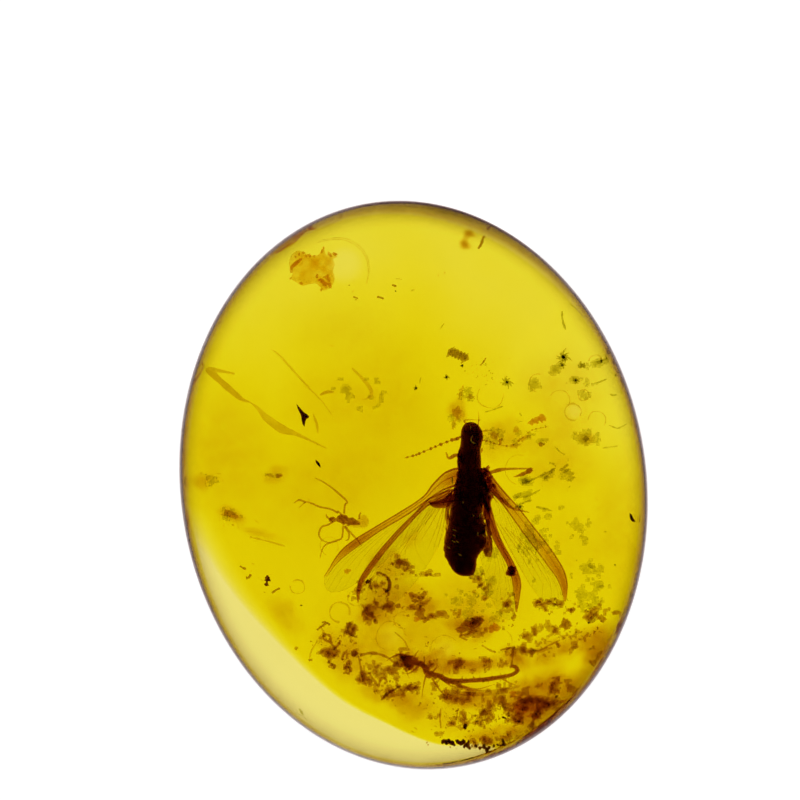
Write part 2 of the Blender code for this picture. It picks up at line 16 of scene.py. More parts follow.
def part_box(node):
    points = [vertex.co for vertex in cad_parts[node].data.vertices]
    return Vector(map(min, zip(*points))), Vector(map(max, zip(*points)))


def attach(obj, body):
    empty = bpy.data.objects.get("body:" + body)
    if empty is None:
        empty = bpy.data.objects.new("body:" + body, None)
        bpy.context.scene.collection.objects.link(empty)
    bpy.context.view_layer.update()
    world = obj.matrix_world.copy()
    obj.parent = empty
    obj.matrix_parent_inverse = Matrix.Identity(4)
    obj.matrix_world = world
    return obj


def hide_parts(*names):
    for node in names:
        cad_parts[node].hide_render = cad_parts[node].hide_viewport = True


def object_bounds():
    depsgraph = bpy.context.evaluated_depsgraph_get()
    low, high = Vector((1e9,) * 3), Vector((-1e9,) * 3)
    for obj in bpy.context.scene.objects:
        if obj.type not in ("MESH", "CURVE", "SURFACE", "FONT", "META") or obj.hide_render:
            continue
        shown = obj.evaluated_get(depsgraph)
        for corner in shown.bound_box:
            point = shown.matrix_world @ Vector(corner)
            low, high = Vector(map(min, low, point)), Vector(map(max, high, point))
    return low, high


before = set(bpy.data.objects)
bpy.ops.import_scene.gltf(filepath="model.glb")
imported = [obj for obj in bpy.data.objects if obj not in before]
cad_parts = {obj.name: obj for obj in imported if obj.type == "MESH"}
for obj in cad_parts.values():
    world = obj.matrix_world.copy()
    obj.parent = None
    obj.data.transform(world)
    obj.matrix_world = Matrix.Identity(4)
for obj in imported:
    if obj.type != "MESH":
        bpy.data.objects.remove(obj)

cad_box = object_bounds()
MM = 0.001

# ------------------------------------------------------------ the stone's form
WIDTH, LENGTH, HEIGHT = cad_box[1] - cad_box[0]
GIRDLE_Z = 3.0 * MM             # height of the widest line
CROWN_FALL = 0.28               # share of the upper height lost from centre to rim
TOP_ROUND = 0.5 * MM            # rounding of the upper edge
TOP_ROUND_WORN = 1.2 * MM       # the same at the worn end
WORN_ANGLE = math.radians(70.0)
BASE_ROUND = 0.9 * MM           # rounding of the lower edge
ROUND_POWER = 2.2               # 2 is a plain ellipse, more is squarer
LEVEL = (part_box("amber_base")[1].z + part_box("amber_top")[0].z) / 2
AMBER_IOR = 1.54


def oval_radius(theta, a, b):
    return 1.0 / math.hypot(math.cos(theta) / a, math.sin(theta) / b)


def top_rounding(theta):
    worn = max(0.0, math.cos(theta - WORN_ANGLE)) ** 8
    return TOP_ROUND + (TOP_ROUND_WORN - TOP_ROUND) * worn


def top_height(x, y):
    """Height of the upper surface over a point of the plan."""
    theta = math.atan2(y, x)
    edge = oval_radius(theta, WIDTH / 2, LENGTH / 2)
    inner = edge - top_rounding(theta)
    r = math.hypot(x, y)
    rise = 1.0
    if r > inner:
        rise = (1.0 - min(1.0, (r - inner) / (edge - inner)) ** ROUND_POWER) ** (1 / ROUND_POWER)
    return GIRDLE_Z + (HEIGHT - GIRDLE_Z) * (1.0 - CROWN_FALL * min(1.0, r / edge) ** 2) * rise


def base_height(x, y):
    """Height of the lower surface over a point of the plan."""
    edge = oval_radius(math.atan2(y, x), WIDTH / 2, LENGTH / 2)
    over = min(1.0, max(0.0, (math.hypot(x, y) - edge + BASE_ROUND) / BASE_ROUND))
    return GIRDLE_Z * (1.0 - (1.0 - over ** ROUND_POWER) ** (1 / ROUND_POWER))


def share_out(x, y):
    """0 at the stone's axis, 1 at its widest outline."""
    return math.hypot(x / (WIDTH / 2), y / (LENGTH / 2))


# ------------------------------------------------------------------- the view
VIEW_SPAN = 800                 # the view is this many units across
UNIT = 0.04377 * MM             # a unit on the girdle's plane
AXIS_AT = (413.5, 484.8)        # where the view shows the stone's axis
LAYOUT_TURN = math.radians(-8.9)
LENS, SENSOR = 300.0, 36.0
TURN = Matrix.Rotation(LAYOUT_TURN, 3, "Z")
SHRINK = 0.967                  # the dome magnifies what lies under it


def view_plane(u, v):
    return TURN @ Vector(((u - AXIS_AT[0]) * UNIT, (AXIS_AT[1] - v) * UNIT, 0.0)) \
        + Vector((0.0, 0.0, GIRDLE_Z))


EYE = view_plane(VIEW_SPAN / 2, VIEW_SPAN / 2) + Vector((0, 0, VIEW_SPAN * UNIT * LENS / SENSOR))


def at(u, v, z=LEVEL):
    """The point at height z that shows at (u, v), seen through the dome."""
    ray = (view_plane(u, v) - EYE).normalized()
    spot = view_plane(u, v)
    for _ in range(10):
        reach = (top_height(spot.x, spot.y) - EYE.z) / ray.z
        spot = spot.lerp(EYE + ray * reach, 0.7)
    step = 0.02 * MM
    slope_x = (top_height(spot.x + step, spot.y) - top_height(spot.x - step, spot.y)) / (2 * step)
    slope_y = (top_height(spot.x, spot.y + step) - top_height(spot.x, spot.y - step)) / (2 * step)
    normal = Vector((-slope_x, -slope_y, 1.0)).normalized()
    bend = 1.0 / AMBER_IOR
    facing = -ray.dot(normal)
    inside = ray * bend + normal * (bend * facing - math.sqrt(1 - bend * bend * (1 - facing ** 2)))
    return spot + inside * ((z - spot.z) / inside.z)


def under(u, v, z):
    """As at(), but near the rim, where the rounding bends the view too far, simply below."""
    plain = view_plane(u, v)
    plain = Vector((plain.x * SHRINK, plain.y * SHRINK, z))
    out = min(1.0, max(0.0, (share_out(plain.x, plain.y) - 0.82) / 0.06))
    return plain if out == 1.0 else at(u, v, z).lerp(plain, out)


def offset(du, dv, dz=0.0):
    """A small step in view units along the picture's axes, dz in metres."""
    return TURN @ Vector((du, -dv, 0.0)) * UNIT * SHRINK + Vector((0.0, 0.0, dz))


def route(points, lift=0.0):
    """(u, v) or (u, v, dz in mm) places -> points about the inclusions' level."""
    out = []
    for p in points:
        dz = p[2] if len(p) > 2 else 0.0
        out.append(at(p[0], p[1], LEVEL + lift + dz * MM))
    return out


# ---------------------------------------------------------------- mesh helpers
def piece(name, bm, mat, stands_for=(), smooth=50.0):
    """Turns a bmesh into a finished piece of the object."""
    bmesh.ops.recalc_face_normals(bm, faces=bm.faces)
    mesh = bpy.data.meshes.new(name)
    bm.to_mesh(mesh)
    bm.free()
    mesh.materials.append(mat)
    mesh.shade_smooth()
    mesh.set_sharp_from_angle(angle=math.radians(smooth))
    obj = bpy.data.objects.new(name, mesh)
    bpy.context.scene.collection.objects.link(obj)
    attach(obj, "root")
    if stands_for:
        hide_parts(*stands_for)
    return obj


def skin(bm, rings, closed=True, caps=True):
    """Joins equal rings of vertices into a surface."""
    count = len(rings[0])
    for a, b in zip(rings, rings[1:]):
        for k in range(count if closed else count - 1):
            bm.faces.new((a[k], a[(k + 1) % count], b[(k + 1) % count], b[k]))
    if caps:
        bm.faces.new(list(reversed(rings[0])))
        bm.faces.new(rings[-1])


def smooth_path(points, steps):
    """Evenly stepped Catmull-Rom curve through the given points."""
    pts = [Vector(p) for p in points]
    pts = [2 * pts[0] - pts[1]] + pts + [2 * pts[-1] - pts[-2]]
    spans = len(pts) - 3
    out = []
    for i in range(steps + 1):
        u = spans * i / steps
        j = min(int(u), spans - 1)
        t = u - j
        a, b, c, d = pts[j:j + 4]
        out.append(0.5 * ((2 * b) + (c - a) * t + (2 * a - 5 * b + 4 * c - d) * t * t
                          + (3 * b - a - 3 * c + d) * t ** 3))
    return out


def blend(values, share):
    """Reads a list of numbers as a curve: share 0 is its start and 1 its end."""
    place = share * (len(values) - 1)
    i = min(int(place), len(values) - 2)
    return values[i] + (values[i + 1] - values[i]) * (place - i)


def add_tube(bm, path, radii, sides=8, flatten=1.0):
    """Closed tube along a path; radii (mm) are read as a curve along it."""
    rings = []
    for i, p in enumerate(path):
        ahead = path[min(i + 1, len(path) - 1)] - path[max(i - 1, 0)]
        side = ahead.cross(Vector((0, 0, 1)))
        if side.length < 1e-9:
            side = Vector((1, 0, 0))
        side.normalize()
        up = side.cross(ahead).normalized()
        r = blend(radii, i / (len(path) - 1)) * MM
        rings.append([bm.verts.new(p + side * math.cos(math.tau * k / sides) * r
                                   + up * math.sin(math.tau * k / sides) * r * flatten)
                      for k in range(sides)])
    skin(bm, rings)


def add_lump(bm, centre, radius, rng, squash=0.7, stretch=1.0, heading=0.0, detail=2, rough=0.28):
    """Irregular closed grain: radius in mm, stretched along heading in the plan."""
    made = bmesh.ops.create_icosphere(bm, subdivisions=detail, radius=1.0)["verts"]
    seed = Vector([rng.uniform(-50, 50) for _ in range(3)])
    turn = Matrix.Rotation(heading, 3, "Z")
    for vert in made:
        p = vert.co.copy()
        swell = 1.0 + rough * noise.noise(p * 1.6 + seed) * 2 + rough * noise.noise(p * 4.1 + seed)
        p = Vector((p.x * stretch, p.y / math.sqrt(stretch), p.z * squash)) * swell
        vert.co = centre + turn @ p * radius * MM


def add_band(bm, path_a, path_b, thickness, across=6, wave=0.0):
    """Closed thin lens-shaped band between two paths; thickness (mm) is read along it."""
    rings = []
    for i, (a, b) in enumerate(zip(path_a, path_b)):
        thick = blend(thickness, i / (len(path_a) - 1))
        top, low = [], []
        for j in range(across + 1):
            t = j / across
            p = a.lerp(b, t)
            half = thick / 2 * max(0.0, 1 - (2 * t - 1) ** 2) ** 0.35 * MM
            crest = wave * math.sin(math.tau * 2.5 * t) * MM
            top.append(bm.verts.new(p + Vector((0, 0, half + crest))))
            if 0 < j < across:
                low.append(bm.verts.new(p + Vector((0, 0, crest - half))))
        rings.append(top + low[::-1])
    skin(bm, rings)


def fuse(obj, voxel):
    """Melts overlapping lumps of a piece into one surface."""
    mod = obj.modifiers.new("fused", "REMESH")
    mod.mode = "VOXEL"
    mod.voxel_size = voxel * MM
    mod.use_smooth_shade = True


def add_field(bm, box, step, depth_at, height):
    """Closed body of uneven depth about a level. depth_at(u, v) is in mm, none where it is
    not above 0; box and step are in view units."""
    cols, rows = int((box[2] - box[0]) / step) + 1, int((box[3] - box[1]) / step) + 1
    depth = [[depth_at(u, v) * max(0.0, min(1.0, (0.99 - share_out(*view_plane(u, v).xy)) / 0.03))
              for v in (box[1] + j * step for j in range(rows))]
             for u in (box[0] + i * step for i in range(cols))]
    cells = {(i, j) for i in range(cols - 1) for j in range(rows - 1)
             if max(depth[i][j], depth[i + 1][j], depth[i][j + 1], depth[i + 1][j + 1]) > 0}
    made = {}

    def corner(i, j):
        if (i, j) not in made:
            half = Vector((0, 0, max(depth[i][j], 0.002) * MM / 2))
            p = under(box[0] + i * step, box[1] + j * step, height)
            made[i, j] = bm.verts.new(p + half), bm.verts.new(p - half)
        return made[i, j]

    for i, j in cells:
        ring = [corner(i, j), corner(i, j + 1), corner(i + 1, j + 1), corner(i + 1, j)]
        bm.faces.new([top for top, _ in ring])
        bm.faces.new([low for _, low in reversed(ring)])
        for k, beside in enumerate(((i - 1, j), (i, j + 1), (i + 1, j), (i, j - 1))):
            if beside not in cells:
                (a, b), (c, d) = ring[k], ring[(k + 1) % 4]
                bm.faces.new((a, b, d, c))


def swell(u, v, patches):
    """Sum of soft oval patches: (u, v, along, across, lean in degrees, depth) each."""
    total = 0.0
    for u0, v0, along, across, lean, depth in patches:
        turn = math.radians(lean)
        du, dv = u - u0, v - v0
        a = (du * math.cos(turn) + dv * math.sin(turn)) / along
        b = (dv * math.cos(turn) - du * math.sin(turn)) / across
        reach = a * a + b * b
        if reach < 1.0:
            total += depth * (1.0 - reach) ** 2
    return total


# -------------------------------------------------------------------- materials
def new_material(name):
    mat = bpy.data.materials.new(name)
    mat.use_nodes = True
    return mat, mat.node_tree, mat.node_tree.nodes["Principled BSDF"]


def mottle(tree, size, tones, detail=5.0, spread=0.25):
    """Colour that drifts between tones over patches of about size mm."""
    place = tree.nodes.new("ShaderNodeTexCoord")
    grain = tree.nodes.new("ShaderNodeTexNoise")
    grain.inputs["Scale"].default_value = 1.0 / (size * MM)
    grain.inputs["Detail"].default_value = detail
    grain.inputs["Roughness"].default_value = 0.6
    ramp = tree.nodes.new("ShaderNodeValToRGB")
    low, high = 0.5 - spread, 0.5 + spread
    marks = ramp.color_ramp.elements
    while len(marks) < len(tones):
        marks.new(0.5)
    for i, tone in enumerate(tones):
        marks[i].position = low + (high - low) * i / (len(tones) - 1)
        marks[i].color = (*tone, 1.0)
    tree.links.new(place.outputs["Object"], grain.inputs["Vector"])
    tree.links.new(grain.outputs["Fac"], ramp.inputs["Fac"])
    return grain.outputs["Fac"], ramp.outputs["Color"]


def relief(tree, shader, height, depth, strength=1.0):
    """Bump from a height signal, depth in mm."""
    bump = tree.nodes.new("ShaderNodeBump")
    bump.inputs["Distance"].default_value = depth * MM
    bump.inputs["Strength"].default_value = strength
    tree.links.new(height, bump.inputs["Height"])
    tree.links.new(bump.outputs["Normal"], shader.inputs["Normal"])


def spread_value(tree, signal, low, high):
    """The signal, 0 to 1, remapped to low to high."""
    fit = tree.nodes.new("ShaderNodeMapRange")
    fit.inputs["From Min"].default_value = 0.3
    fit.inputs["From Max"].default_value = 0.7
    fit.inputs["To Min"].default_value = low
    fit.inputs["To Max"].default_value = high
    tree.links.new(signal, fit.inputs["Value"])
    return fit.outputs["Result"]


def absorb(tree, loss):
    """Plain volume absorption; loss is the extinction per millimetre of red, green and blue."""
    volume = tree.nodes.new("ShaderNodeVolumeAbsorption")
    density = max(loss) * 1.05
    volume.inputs["Density"].default_value = density / MM
    volume.inputs["Color"].default_value = (*[1.0 - k / density for k in loss], 1.0)
    tree.links.new(volume.outputs["Volume"], tree.nodes["Material Output"].inputs["Volume"])


def clear_material(name, ior, loss, tones, patch):
    """See-through body: straight absorption, with a faint procedural mottle on its skin."""
    mat, tree, shader = new_material(name)
    shader.inputs["IOR"].default_value = ior
    shader.inputs["Transmission Weight"].default_value = 1.0
    shader.inputs["Roughness"].default_value = 0.0
    _, colour = mottle(tree, patch, tones)
    tree.links.new(colour, shader.inputs["Base Color"])
    absorb(tree, loss)
    return mat


def solid_material(name, tones, patch, rough, depth, specular=0.5, coat=0.0):
    """Opaque body with mottled colour, uneven gloss and fine relief."""
    mat, tree, shader = new_material(name)
    signal, colour = mottle(tree, patch, tones)
    tree.links.new(colour, shader.inputs["Base Color"])
    tree.links.new(spread_value(tree, signal, *rough), shader.inputs["Roughness"])
    shader.inputs["IOR"].default_value = AMBER_IOR
    shader.inputs["Specular IOR Level"].default_value = specular
    shader.inputs["Coat Weight"].default_value = coat
    relief(tree, shader, signal, depth)
    return mat


def film_material(name, tones, patch, alpha):
    """Thin see-through film."""
    mat, tree, shader = new_material(name)
    signal, colour = mottle(tree, patch, tones)
    tree.links.new(colour, shader.inputs["Base Color"])
    shader.inputs["Roughness"].default_value = 0.9
    shader.inputs["Specular IOR Level"].default_value = 0.0
    shader.inputs["Alpha"].default_value = alpha
    relief(tree, shader, signal, 0.01)
    return mat


def amber_material():
    mat, tree, shader = new_material("amber_clear")
    shader.inputs["IOR"].default_value = AMBER_IOR
    shader.inputs["Transmission Weight"].default_value = 1.0
    signal, colour = mottle(tree, 6.0, ((1.0, 0.99, 0.96), (1.0, 1.0, 0.98)))
    tree.links.new(colour, shader.inputs["Base Color"])
    tree.links.new(spread_value(tree, signal, 0.0, 0.035), shader.inputs["Roughness"])
    relief(tree, shader, signal, 0.012)
    absorb(tree, AMBER_LOSS)
    return mat


def rim_shade_material():
    """Clear film of painted rim shade: a brown tint that stands in for the darker rim the light gives, and grows
    towards the widest line; it is strongest and has the sharpest inner edge round the worn end."""
    mat, tree, shader = new_material("painted_rim_shade")
    shader.inputs["IOR"].default_value = 1.0
    shader.inputs["Transmission Weight"].default_value = 1.0
    shader.inputs["Roughness"].default_value = 0.0
    signal, _ = mottle(tree, 1.2, (WHITE, WHITE))

    def maths(operation, *inputs, kind="ShaderNodeMath", result="Value"):
        node = tree.nodes.new(kind)
        node.operation = operation
        for socket, value in zip(node.inputs, inputs):
            if isinstance(value, bpy.types.NodeSocket):
                tree.links.new(value, socket)
            else:
                socket.default_value = value
        return node.outputs[result]

    place = tree.nodes.new("ShaderNodeTexCoord").outputs["Object"]
    plan = maths("MULTIPLY", place, (2 / WIDTH, 2 / LENGTH, 0.0), kind="ShaderNodeVectorMath", result="Vector")
    share = maths("LENGTH", plan, kind="ShaderNodeVectorMath")
    facing = maths("DOT_PRODUCT", plan, (math.cos(WORN_ANGLE), math.sin(WORN_ANGLE), 0.0),
                   kind="ShaderNodeVectorMath")
    worn = maths("POWER", maths("MAXIMUM", facing, 0.0), 12.0)
    less_shaded_side = maths("DOT_PRODUCT", plan, (*(TURN @ Vector((-0.30, -0.95, 0.0))).xy, 0.0), kind="ShaderNodeVectorMath")
    less_shaded_side = maths("POWER", maths("MAXIMUM", less_shaded_side, 0.0), 5.0)
    bite = tree.nodes.new("ShaderNodeMapRange")
    tree.links.new(share, bite.inputs["Value"])
    tree.links.new(maths("MULTIPLY_ADD", worn, 0.025, 0.885), bite.inputs["From Min"])
    bend = maths("MULTIPLY_ADD", worn, -1.85, 2.2)
    shade_amount = maths("MULTIPLY", maths("POWER", bite.outputs["Result"], bend),
                  maths("MULTIPLY_ADD", less_shaded_side, -0.30, maths("MULTIPLY_ADD", worn, 0.2, 0.8)))
    lip = tree.nodes.new("ShaderNodeMapRange")
    lip.interpolation_type = "SMOOTHSTEP"
    tree.links.new(share, lip.inputs["Value"])
    lip.inputs["From Min"].default_value = 0.974
    lip.inputs["From Max"].default_value = 0.990
    paler = maths("MULTIPLY", lip.outputs["Result"], maths("MULTIPLY_ADD", worn, 0.42, -0.60))
    shade_amount = maths("MULTIPLY", shade_amount, maths("ADD", paler, 1.0))
    height = tree.nodes.new("ShaderNodeSeparateXYZ")
    tree.links.new(place, height.inputs[0])
    shoulder = tree.nodes.new("ShaderNodeMapRange")
    shoulder.interpolation_type = "SMOOTHSTEP"
    tree.links.new(height.outputs["Z"], shoulder.inputs["Value"])
    shoulder.inputs["From Min"].default_value = GIRDLE_Z + 0.1 * MM
    shoulder.inputs["From Max"].default_value = GIRDLE_Z + 1.7 * MM
    shade_amount = maths("MULTIPLY", shade_amount, shoulder.outputs["Result"])
    shade_amount = maths("MULTIPLY", shade_amount, spread_value(tree, signal, 0.88, 1.06))
    ramp = tree.nodes.new("ShaderNodeValToRGB")
    marks = ramp.color_ramp.elements
    marks.new(0.4)
    marks.new(0.7)
    for mark, position, tint in zip(marks, (0.0, 0.4, 0.7, 1.0), RIM_SHADE_TINTS):
        mark.position = position
        mark.color = (*tint, 1.0)
    tree.links.new(shade_amount, ramp.inputs["Fac"])
    tree.links.new(ramp.outputs["Color"], shader.inputs["Base Color"])
    return mat


WHITE = (1, 1, 1)
# Tints of the painted rim shade, from clear to darkest brown.
RIM_SHADE_TINTS = (WHITE, (0.50, 0.39, 0.38), (0.32, 0.23, 0.24), (0.16, 0.115, 0.10))
AMBER_LOSS = (0.024, 0.044, 0.27)
FLOW_LOSS = (0.018, 0.036, 0.93)

AMBER = amber_material()
GOLD = clear_material("golden_resin", 1.0, FLOW_LOSS, ((0.985, 0.97, 0.93), WHITE), 3.0)
RIM_SHADE = rim_shade_material()
CUTICLE = clear_material("dark_cuticle", 1.0, (5.6, 9.2, 30.0),
                         ((0.30, 0.14, 0.06), (1.0, 0.80, 0.55)), 0.16)
SEPIA = clear_material("brown_cuticle", 1.0, (5.6, 10.5, 28.0), ((0.6, 0.42, 0.28), (1, 0.92, 0.82)), 0.12)
BAND = clear_material("wing_vein_field", 1.0, (2.3, 5.2, 22.0), ((0.86, 0.74, 0.6), (1, 0.97, 0.92)), 0.10)
VEIN = clear_material("wing_vein", 1.0, (10.0, 20.0, 50.0), ((0.7, 0.5, 0.35), (1, 0.92, 0.85)), 0.15)
FAINT_VEIN = clear_material("fine_vein", 1.0, (5.0, 10.0, 30.0), ((0.8, 0.7, 0.6), WHITE), 0.2)
MEMBRANE = film_material("wing_membrane", ((0.30, 0.14, 0.02), (0.45, 0.28, 0.05)), 0.3, 0.055)
# Painted highlight: a pale solid that stands in for the glints on the cuticle.
SHEEN = solid_material("cuticle_glint", ((0.35, 0.30, 0.25), (0.75, 0.70, 0.62)), 0.05,
                       (0.3, 0.6), 0.004)
GNAT = clear_material("gnat_brown", 1.0, (4.0, 7.2, 18.0), ((0.6, 0.42, 0.25), (1, 0.9, 0.75)), 0.07)
GNAT_WING = clear_material("gnat_wing", 1.0, (1.6, 3.6, 12.0), ((0.85, 0.75, 0.6), (1, 1, 0.95)), 0.10)
CHAR = clear_material("char", 1.0, (16.0, 24.0, 50.0), ((0.16, 0.06, 0.03), (0.6, 0.4, 0.3)), 0.12)
BARK = clear_material("bark_golden", 1.0, (0.34, 1.0, 5.0), ((0.84, 0.66, 0.36), (1, 0.97, 0.88)), 0.30)
BARK_RED = clear_material("bark_rust", 1.0, (1.7, 4.6, 12.0), ((0.72, 0.45, 0.25), (1, 0.95, 0.85)), 0.12)
ROOT = clear_material("rootlet_brown", 1.0, (5.2, 10.0, 24.0), ((0.55, 0.35, 0.2), (1, 0.9, 0.8)), 0.10)
FRASS = clear_material("frass", 1.0, (2.4, 3.6, 12.0), ((0.5, 0.4, 0.2), (1, 0.95, 0.8)), 0.08)
LITTER = clear_material("litter_brown", 1.0, (3.0, 5.4, 14.0), ((0.5, 0.32, 0.14), (1, 0.94, 0.8)), 0.07)
LITTER_DARK = clear_material("litter_dark", 1.0, (4.6, 7.6, 20.0), ((0.4, 0.24, 0.10), (1, 0.9, 0.7)), 0.08)
LITTER_GREEN = clear_material("litter_olive", 1.0, (3.4, 3.7, 11.0), ((0.6, 0.56, 0.3), (1, 1, 0.85)), 0.10)
LITTER_TAN = clear_material("litter_tan", 1.0, (1.5, 2.9, 9.0), ((0.75, 0.62, 0.42), (1, 0.97, 0.9)), 0.08)
STAIN = clear_material("resin_stain", 1.0, (0.85, 1.85, 5.0), ((0.996, 0.992, 0.985), WHITE), 0.5)
SEAM = clear_material("flow_seam", 1.0, (3.0, 5.4, 14.0), ((0.85, 0.75, 0.6), WHITE), 0.4)
BUBBLE = clear_material("bubble_rim", 1.0, (1.6, 2.8, 9.0), ((0.8, 0.7, 0.5), WHITE), 0.2)


# -------------------------------------------------------------------- the stone
STONE_STEPS = 288
FILM = 0.03 * MM                # depth of the painted rim-shade film over the stone


def stone_profile():
    """(upper?, t) along the half section, from the base's edge up to the crown."""
    lower = [("low", 1.0 - i / 14) for i in range(14)]
    round_up = [("top", i / 22) for i in range(22)]
    dome = [("top", 1.0 + i / 26) for i in range(26)]
    return lower + round_up + dome


def stone_point(side, theta, t):
    edge = oval_radius(theta, WIDTH / 2, LENGTH / 2)
    a = min(t, 1.0) * math.pi / 2
    bow = max(0.0, math.cos(a)) ** (2 / ROUND_POWER)
    climb = math.sin(a) ** (2 / ROUND_POWER)
    if side == "low":
        return edge - BASE_ROUND + BASE_ROUND * bow, GIRDLE_Z * (1.0 - climb)
    inner = edge - top_rounding(theta)
    r = inner + top_rounding(theta) * bow if t <= 1.0 else inner * (2.0 - t)
    fall = 1.0 - CROWN_FALL * (r / edge) ** 2
    return r, GIRDLE_Z + (HEIGHT - GIRDLE_Z) * fall * climb


def polish(p):
    """How far hand polishing has lowered the surface at p."""
    return 0.03 * MM * (0.5 + 0.5 * noise.noise(p / (2.6 * MM)))


def make_stone():
    """The whole stone in one clear skin, with the slight unevenness of hand polishing."""
    bm = bmesh.new()
    rings = []
    for side, t in stone_profile():
        ring = []
        for k in range(STONE_STEPS):
            theta = math.tau * k / STONE_STEPS
            r, z = stone_point(side, theta, t)
            lean = math.pi / 2 * min(t, 1.0)
            r -= FILM * math.cos(lean)
            z -= FILM * math.sin(lean) * max(0.0, min(1.0, (1.5 - t) / 0.3)) if side == "top" else 0.0
            p = Vector((r * math.cos(theta), r * math.sin(theta), z))
            if side == "top":
                p.z -= polish(p) * math.sin(lean)
            ring.append(bm.verts.new(p))
        rings.append(ring)
    skin(bm, rings, caps=False)
    bm.faces.new(list(reversed(rings[0])))
    crown = Vector((0.0, 0.0, HEIGHT))
    crown = bm.verts.new((0.0, 0.0, HEIGHT - polish(crown)))
    for k in range(STONE_STEPS):
        bm.faces.new((rings[-1][k], rings[-1][(k + 1) % STONE_STEPS], crown))
    return piece("amber_stone", bm, AMBER, ("amber_top", "amber_base"))


# The deeper flow fills the stone but for the pale crescent at its lower left.
FLOW_EDGE = ((160, 488), (176, 505), (190, 524), (222, 578), (262, 624), (330, 690), (385, 722),
             (440, 744), (490, 752), (530, 757), (575, 762), (600, 775))
FLOW_HEART = Vector((1.3 * MM, 1.7 * MM, 0.0))
FLOW_INSET = 0.26 * MM
FLOW_STEPS, FLOW_RINGS = 300, 46
PALE_POOLS = ((391, 636, 16), (445, 650, 14), (380, 670, 9), (345, 266, 20), (573, 412, 9))


def flow_boundary():
    """Polar outline (angle, distance) of the crescent's inner edge about the flow's heart."""
    out = []
    for p in smooth_path([at(u, v) if 250 < u < 560 else
                          TURN @ Vector(((u - AXIS_AT[0]) * UNIT, (AXIS_AT[1] - v) * UNIT, 0)) * SHRINK
                          for u, v in FLOW_EDGE], 90):
        d = p - FLOW_HEART
        out.append((math.atan2(d.y, d.x) % math.tau, math.hypot(d.x, d.y)))
    return sorted(out)


def flow_reach(angle, boundary):
    """Distance from the flow's heart to its wall in that direction."""
    dx, dy = math.cos(angle), math.sin(angle)
    a, b = WIDTH / 2 - FLOW_INSET, LENGTH / 2 - FLOW_INSET
    qa = (dx / a) ** 2 + (dy / b) ** 2
    qb = 2 * (FLOW_HEART.x * dx / a ** 2 + FLOW_HEART.y * dy / b ** 2)
    qc = (FLOW_HEART.x / a) ** 2 + (FLOW_HEART.y / b) ** 2 - 1
    reach = (-qb + math.sqrt(qb * qb - 4 * qa * qc)) / (2 * qa)
    angle %= math.tau
    if boundary[0][0] < angle < boundary[-1][0]:
        i = bisect.bisect(boundary, (angle, 0.0))
        (a0, r0), (a1, r1) = boundary[i - 1], boundary[i]
        reach = min(reach, r0 + (r1 - r0) * (angle - a0) / max(a1 - a0, 1e-9))
    return reach


def pool_dip(p, pools):
    """Share of the flow's depth that a pale pool takes away at p."""
    dip = 0.0
    for centre, radius in pools:
        d = math.hypot(p.x - centre.x, p.y - centre.y) / radius
        dip = max(dip, 0.45 * max(0.0, 1.0 - d ** 4))
    return dip


def make_flow():
    bm = bmesh.new()
    boundary = flow_boundary()
    pools = [(at(u, v), r * UNIT * SHRINK) for u, v, r in PALE_POOLS]

    def grown(p):
        """The place in the whole stone that a place in the inset flow stands for."""
        return p * (1.0 + FLOW_INSET / oval_radius(math.atan2(p.y, p.x), WIDTH / 2, LENGTH / 2))

    def floor_z(p):
        q = grown(p)
        return base_height(q.x, q.y) + 0.12 * MM

    def roof_z(p):
        q = grown(p)
        along = TURN.inverted() @ p
        fill = max(0.0, min(1.0, (11.5 * MM - along.y - max(0.8 * along.x, -0.2 * along.x)) / (10.5 * MM)))
        fill = 0.36 + 0.64 * fill * fill * (3 - 2 * fill)
        fill *= 1.0 + 0.14 * noise.noise(p / (2.2 * MM)) + 0.05 * noise.noise(p / (0.7 * MM))
        fill *= 1.0 - pool_dip(p, pools)
        full = top_height(q.x, q.y) - 0.12 * MM
        return max(floor_z(p), floor_z(p) + (full - floor_z(p)) * min(1.0, fill))

    tops, lows = [], []
    for i in range(1, FLOW_RINGS + 1):
        s = 1.0 - (1.0 - i / FLOW_RINGS) ** 1.9
        top, low = [], []
        for k in range(FLOW_STEPS):
            angle = math.tau * k / FLOW_STEPS
            aim = Vector((math.cos(angle), math.sin(angle), 0.0))
            reach = flow_reach(angle, boundary)
            reach += 0.05 * MM * noise.noise(aim * 9.0) * (1 if reach < 10 * MM else 0)
            slope = 0.9 * MM * max(0.0, math.cos(angle - math.radians(186))) ** 4
            p = FLOW_HEART + aim * (reach - slope) * s
            q = FLOW_HEART + aim * reach * s
            top.append(bm.verts.new((p.x, p.y, roof_z(p))))
            low.append(bm.verts.new((q.x, q.y, floor_z(q))))
        tops.append(top)
        lows.append(low)
    skin(bm, tops, caps=False)
    skin(bm, lows, caps=False)
    skin(bm, [tops[-1], lows[-1]], caps=False)
    peak = bm.verts.new((FLOW_HEART.x, FLOW_HEART.y, roof_z(FLOW_HEART)))
    foot = bm.verts.new((FLOW_HEART.x, FLOW_HEART.y, floor_z(FLOW_HEART)))
    for k in range(FLOW_STEPS):
        bm.faces.new((peak, tops[0][k], tops[0][(k + 1) % FLOW_STEPS]))
        bm.faces.new((foot, lows[0][(k + 1) % FLOW_STEPS], lows[0][k]))
    return piece("golden_flow", bm, GOLD)


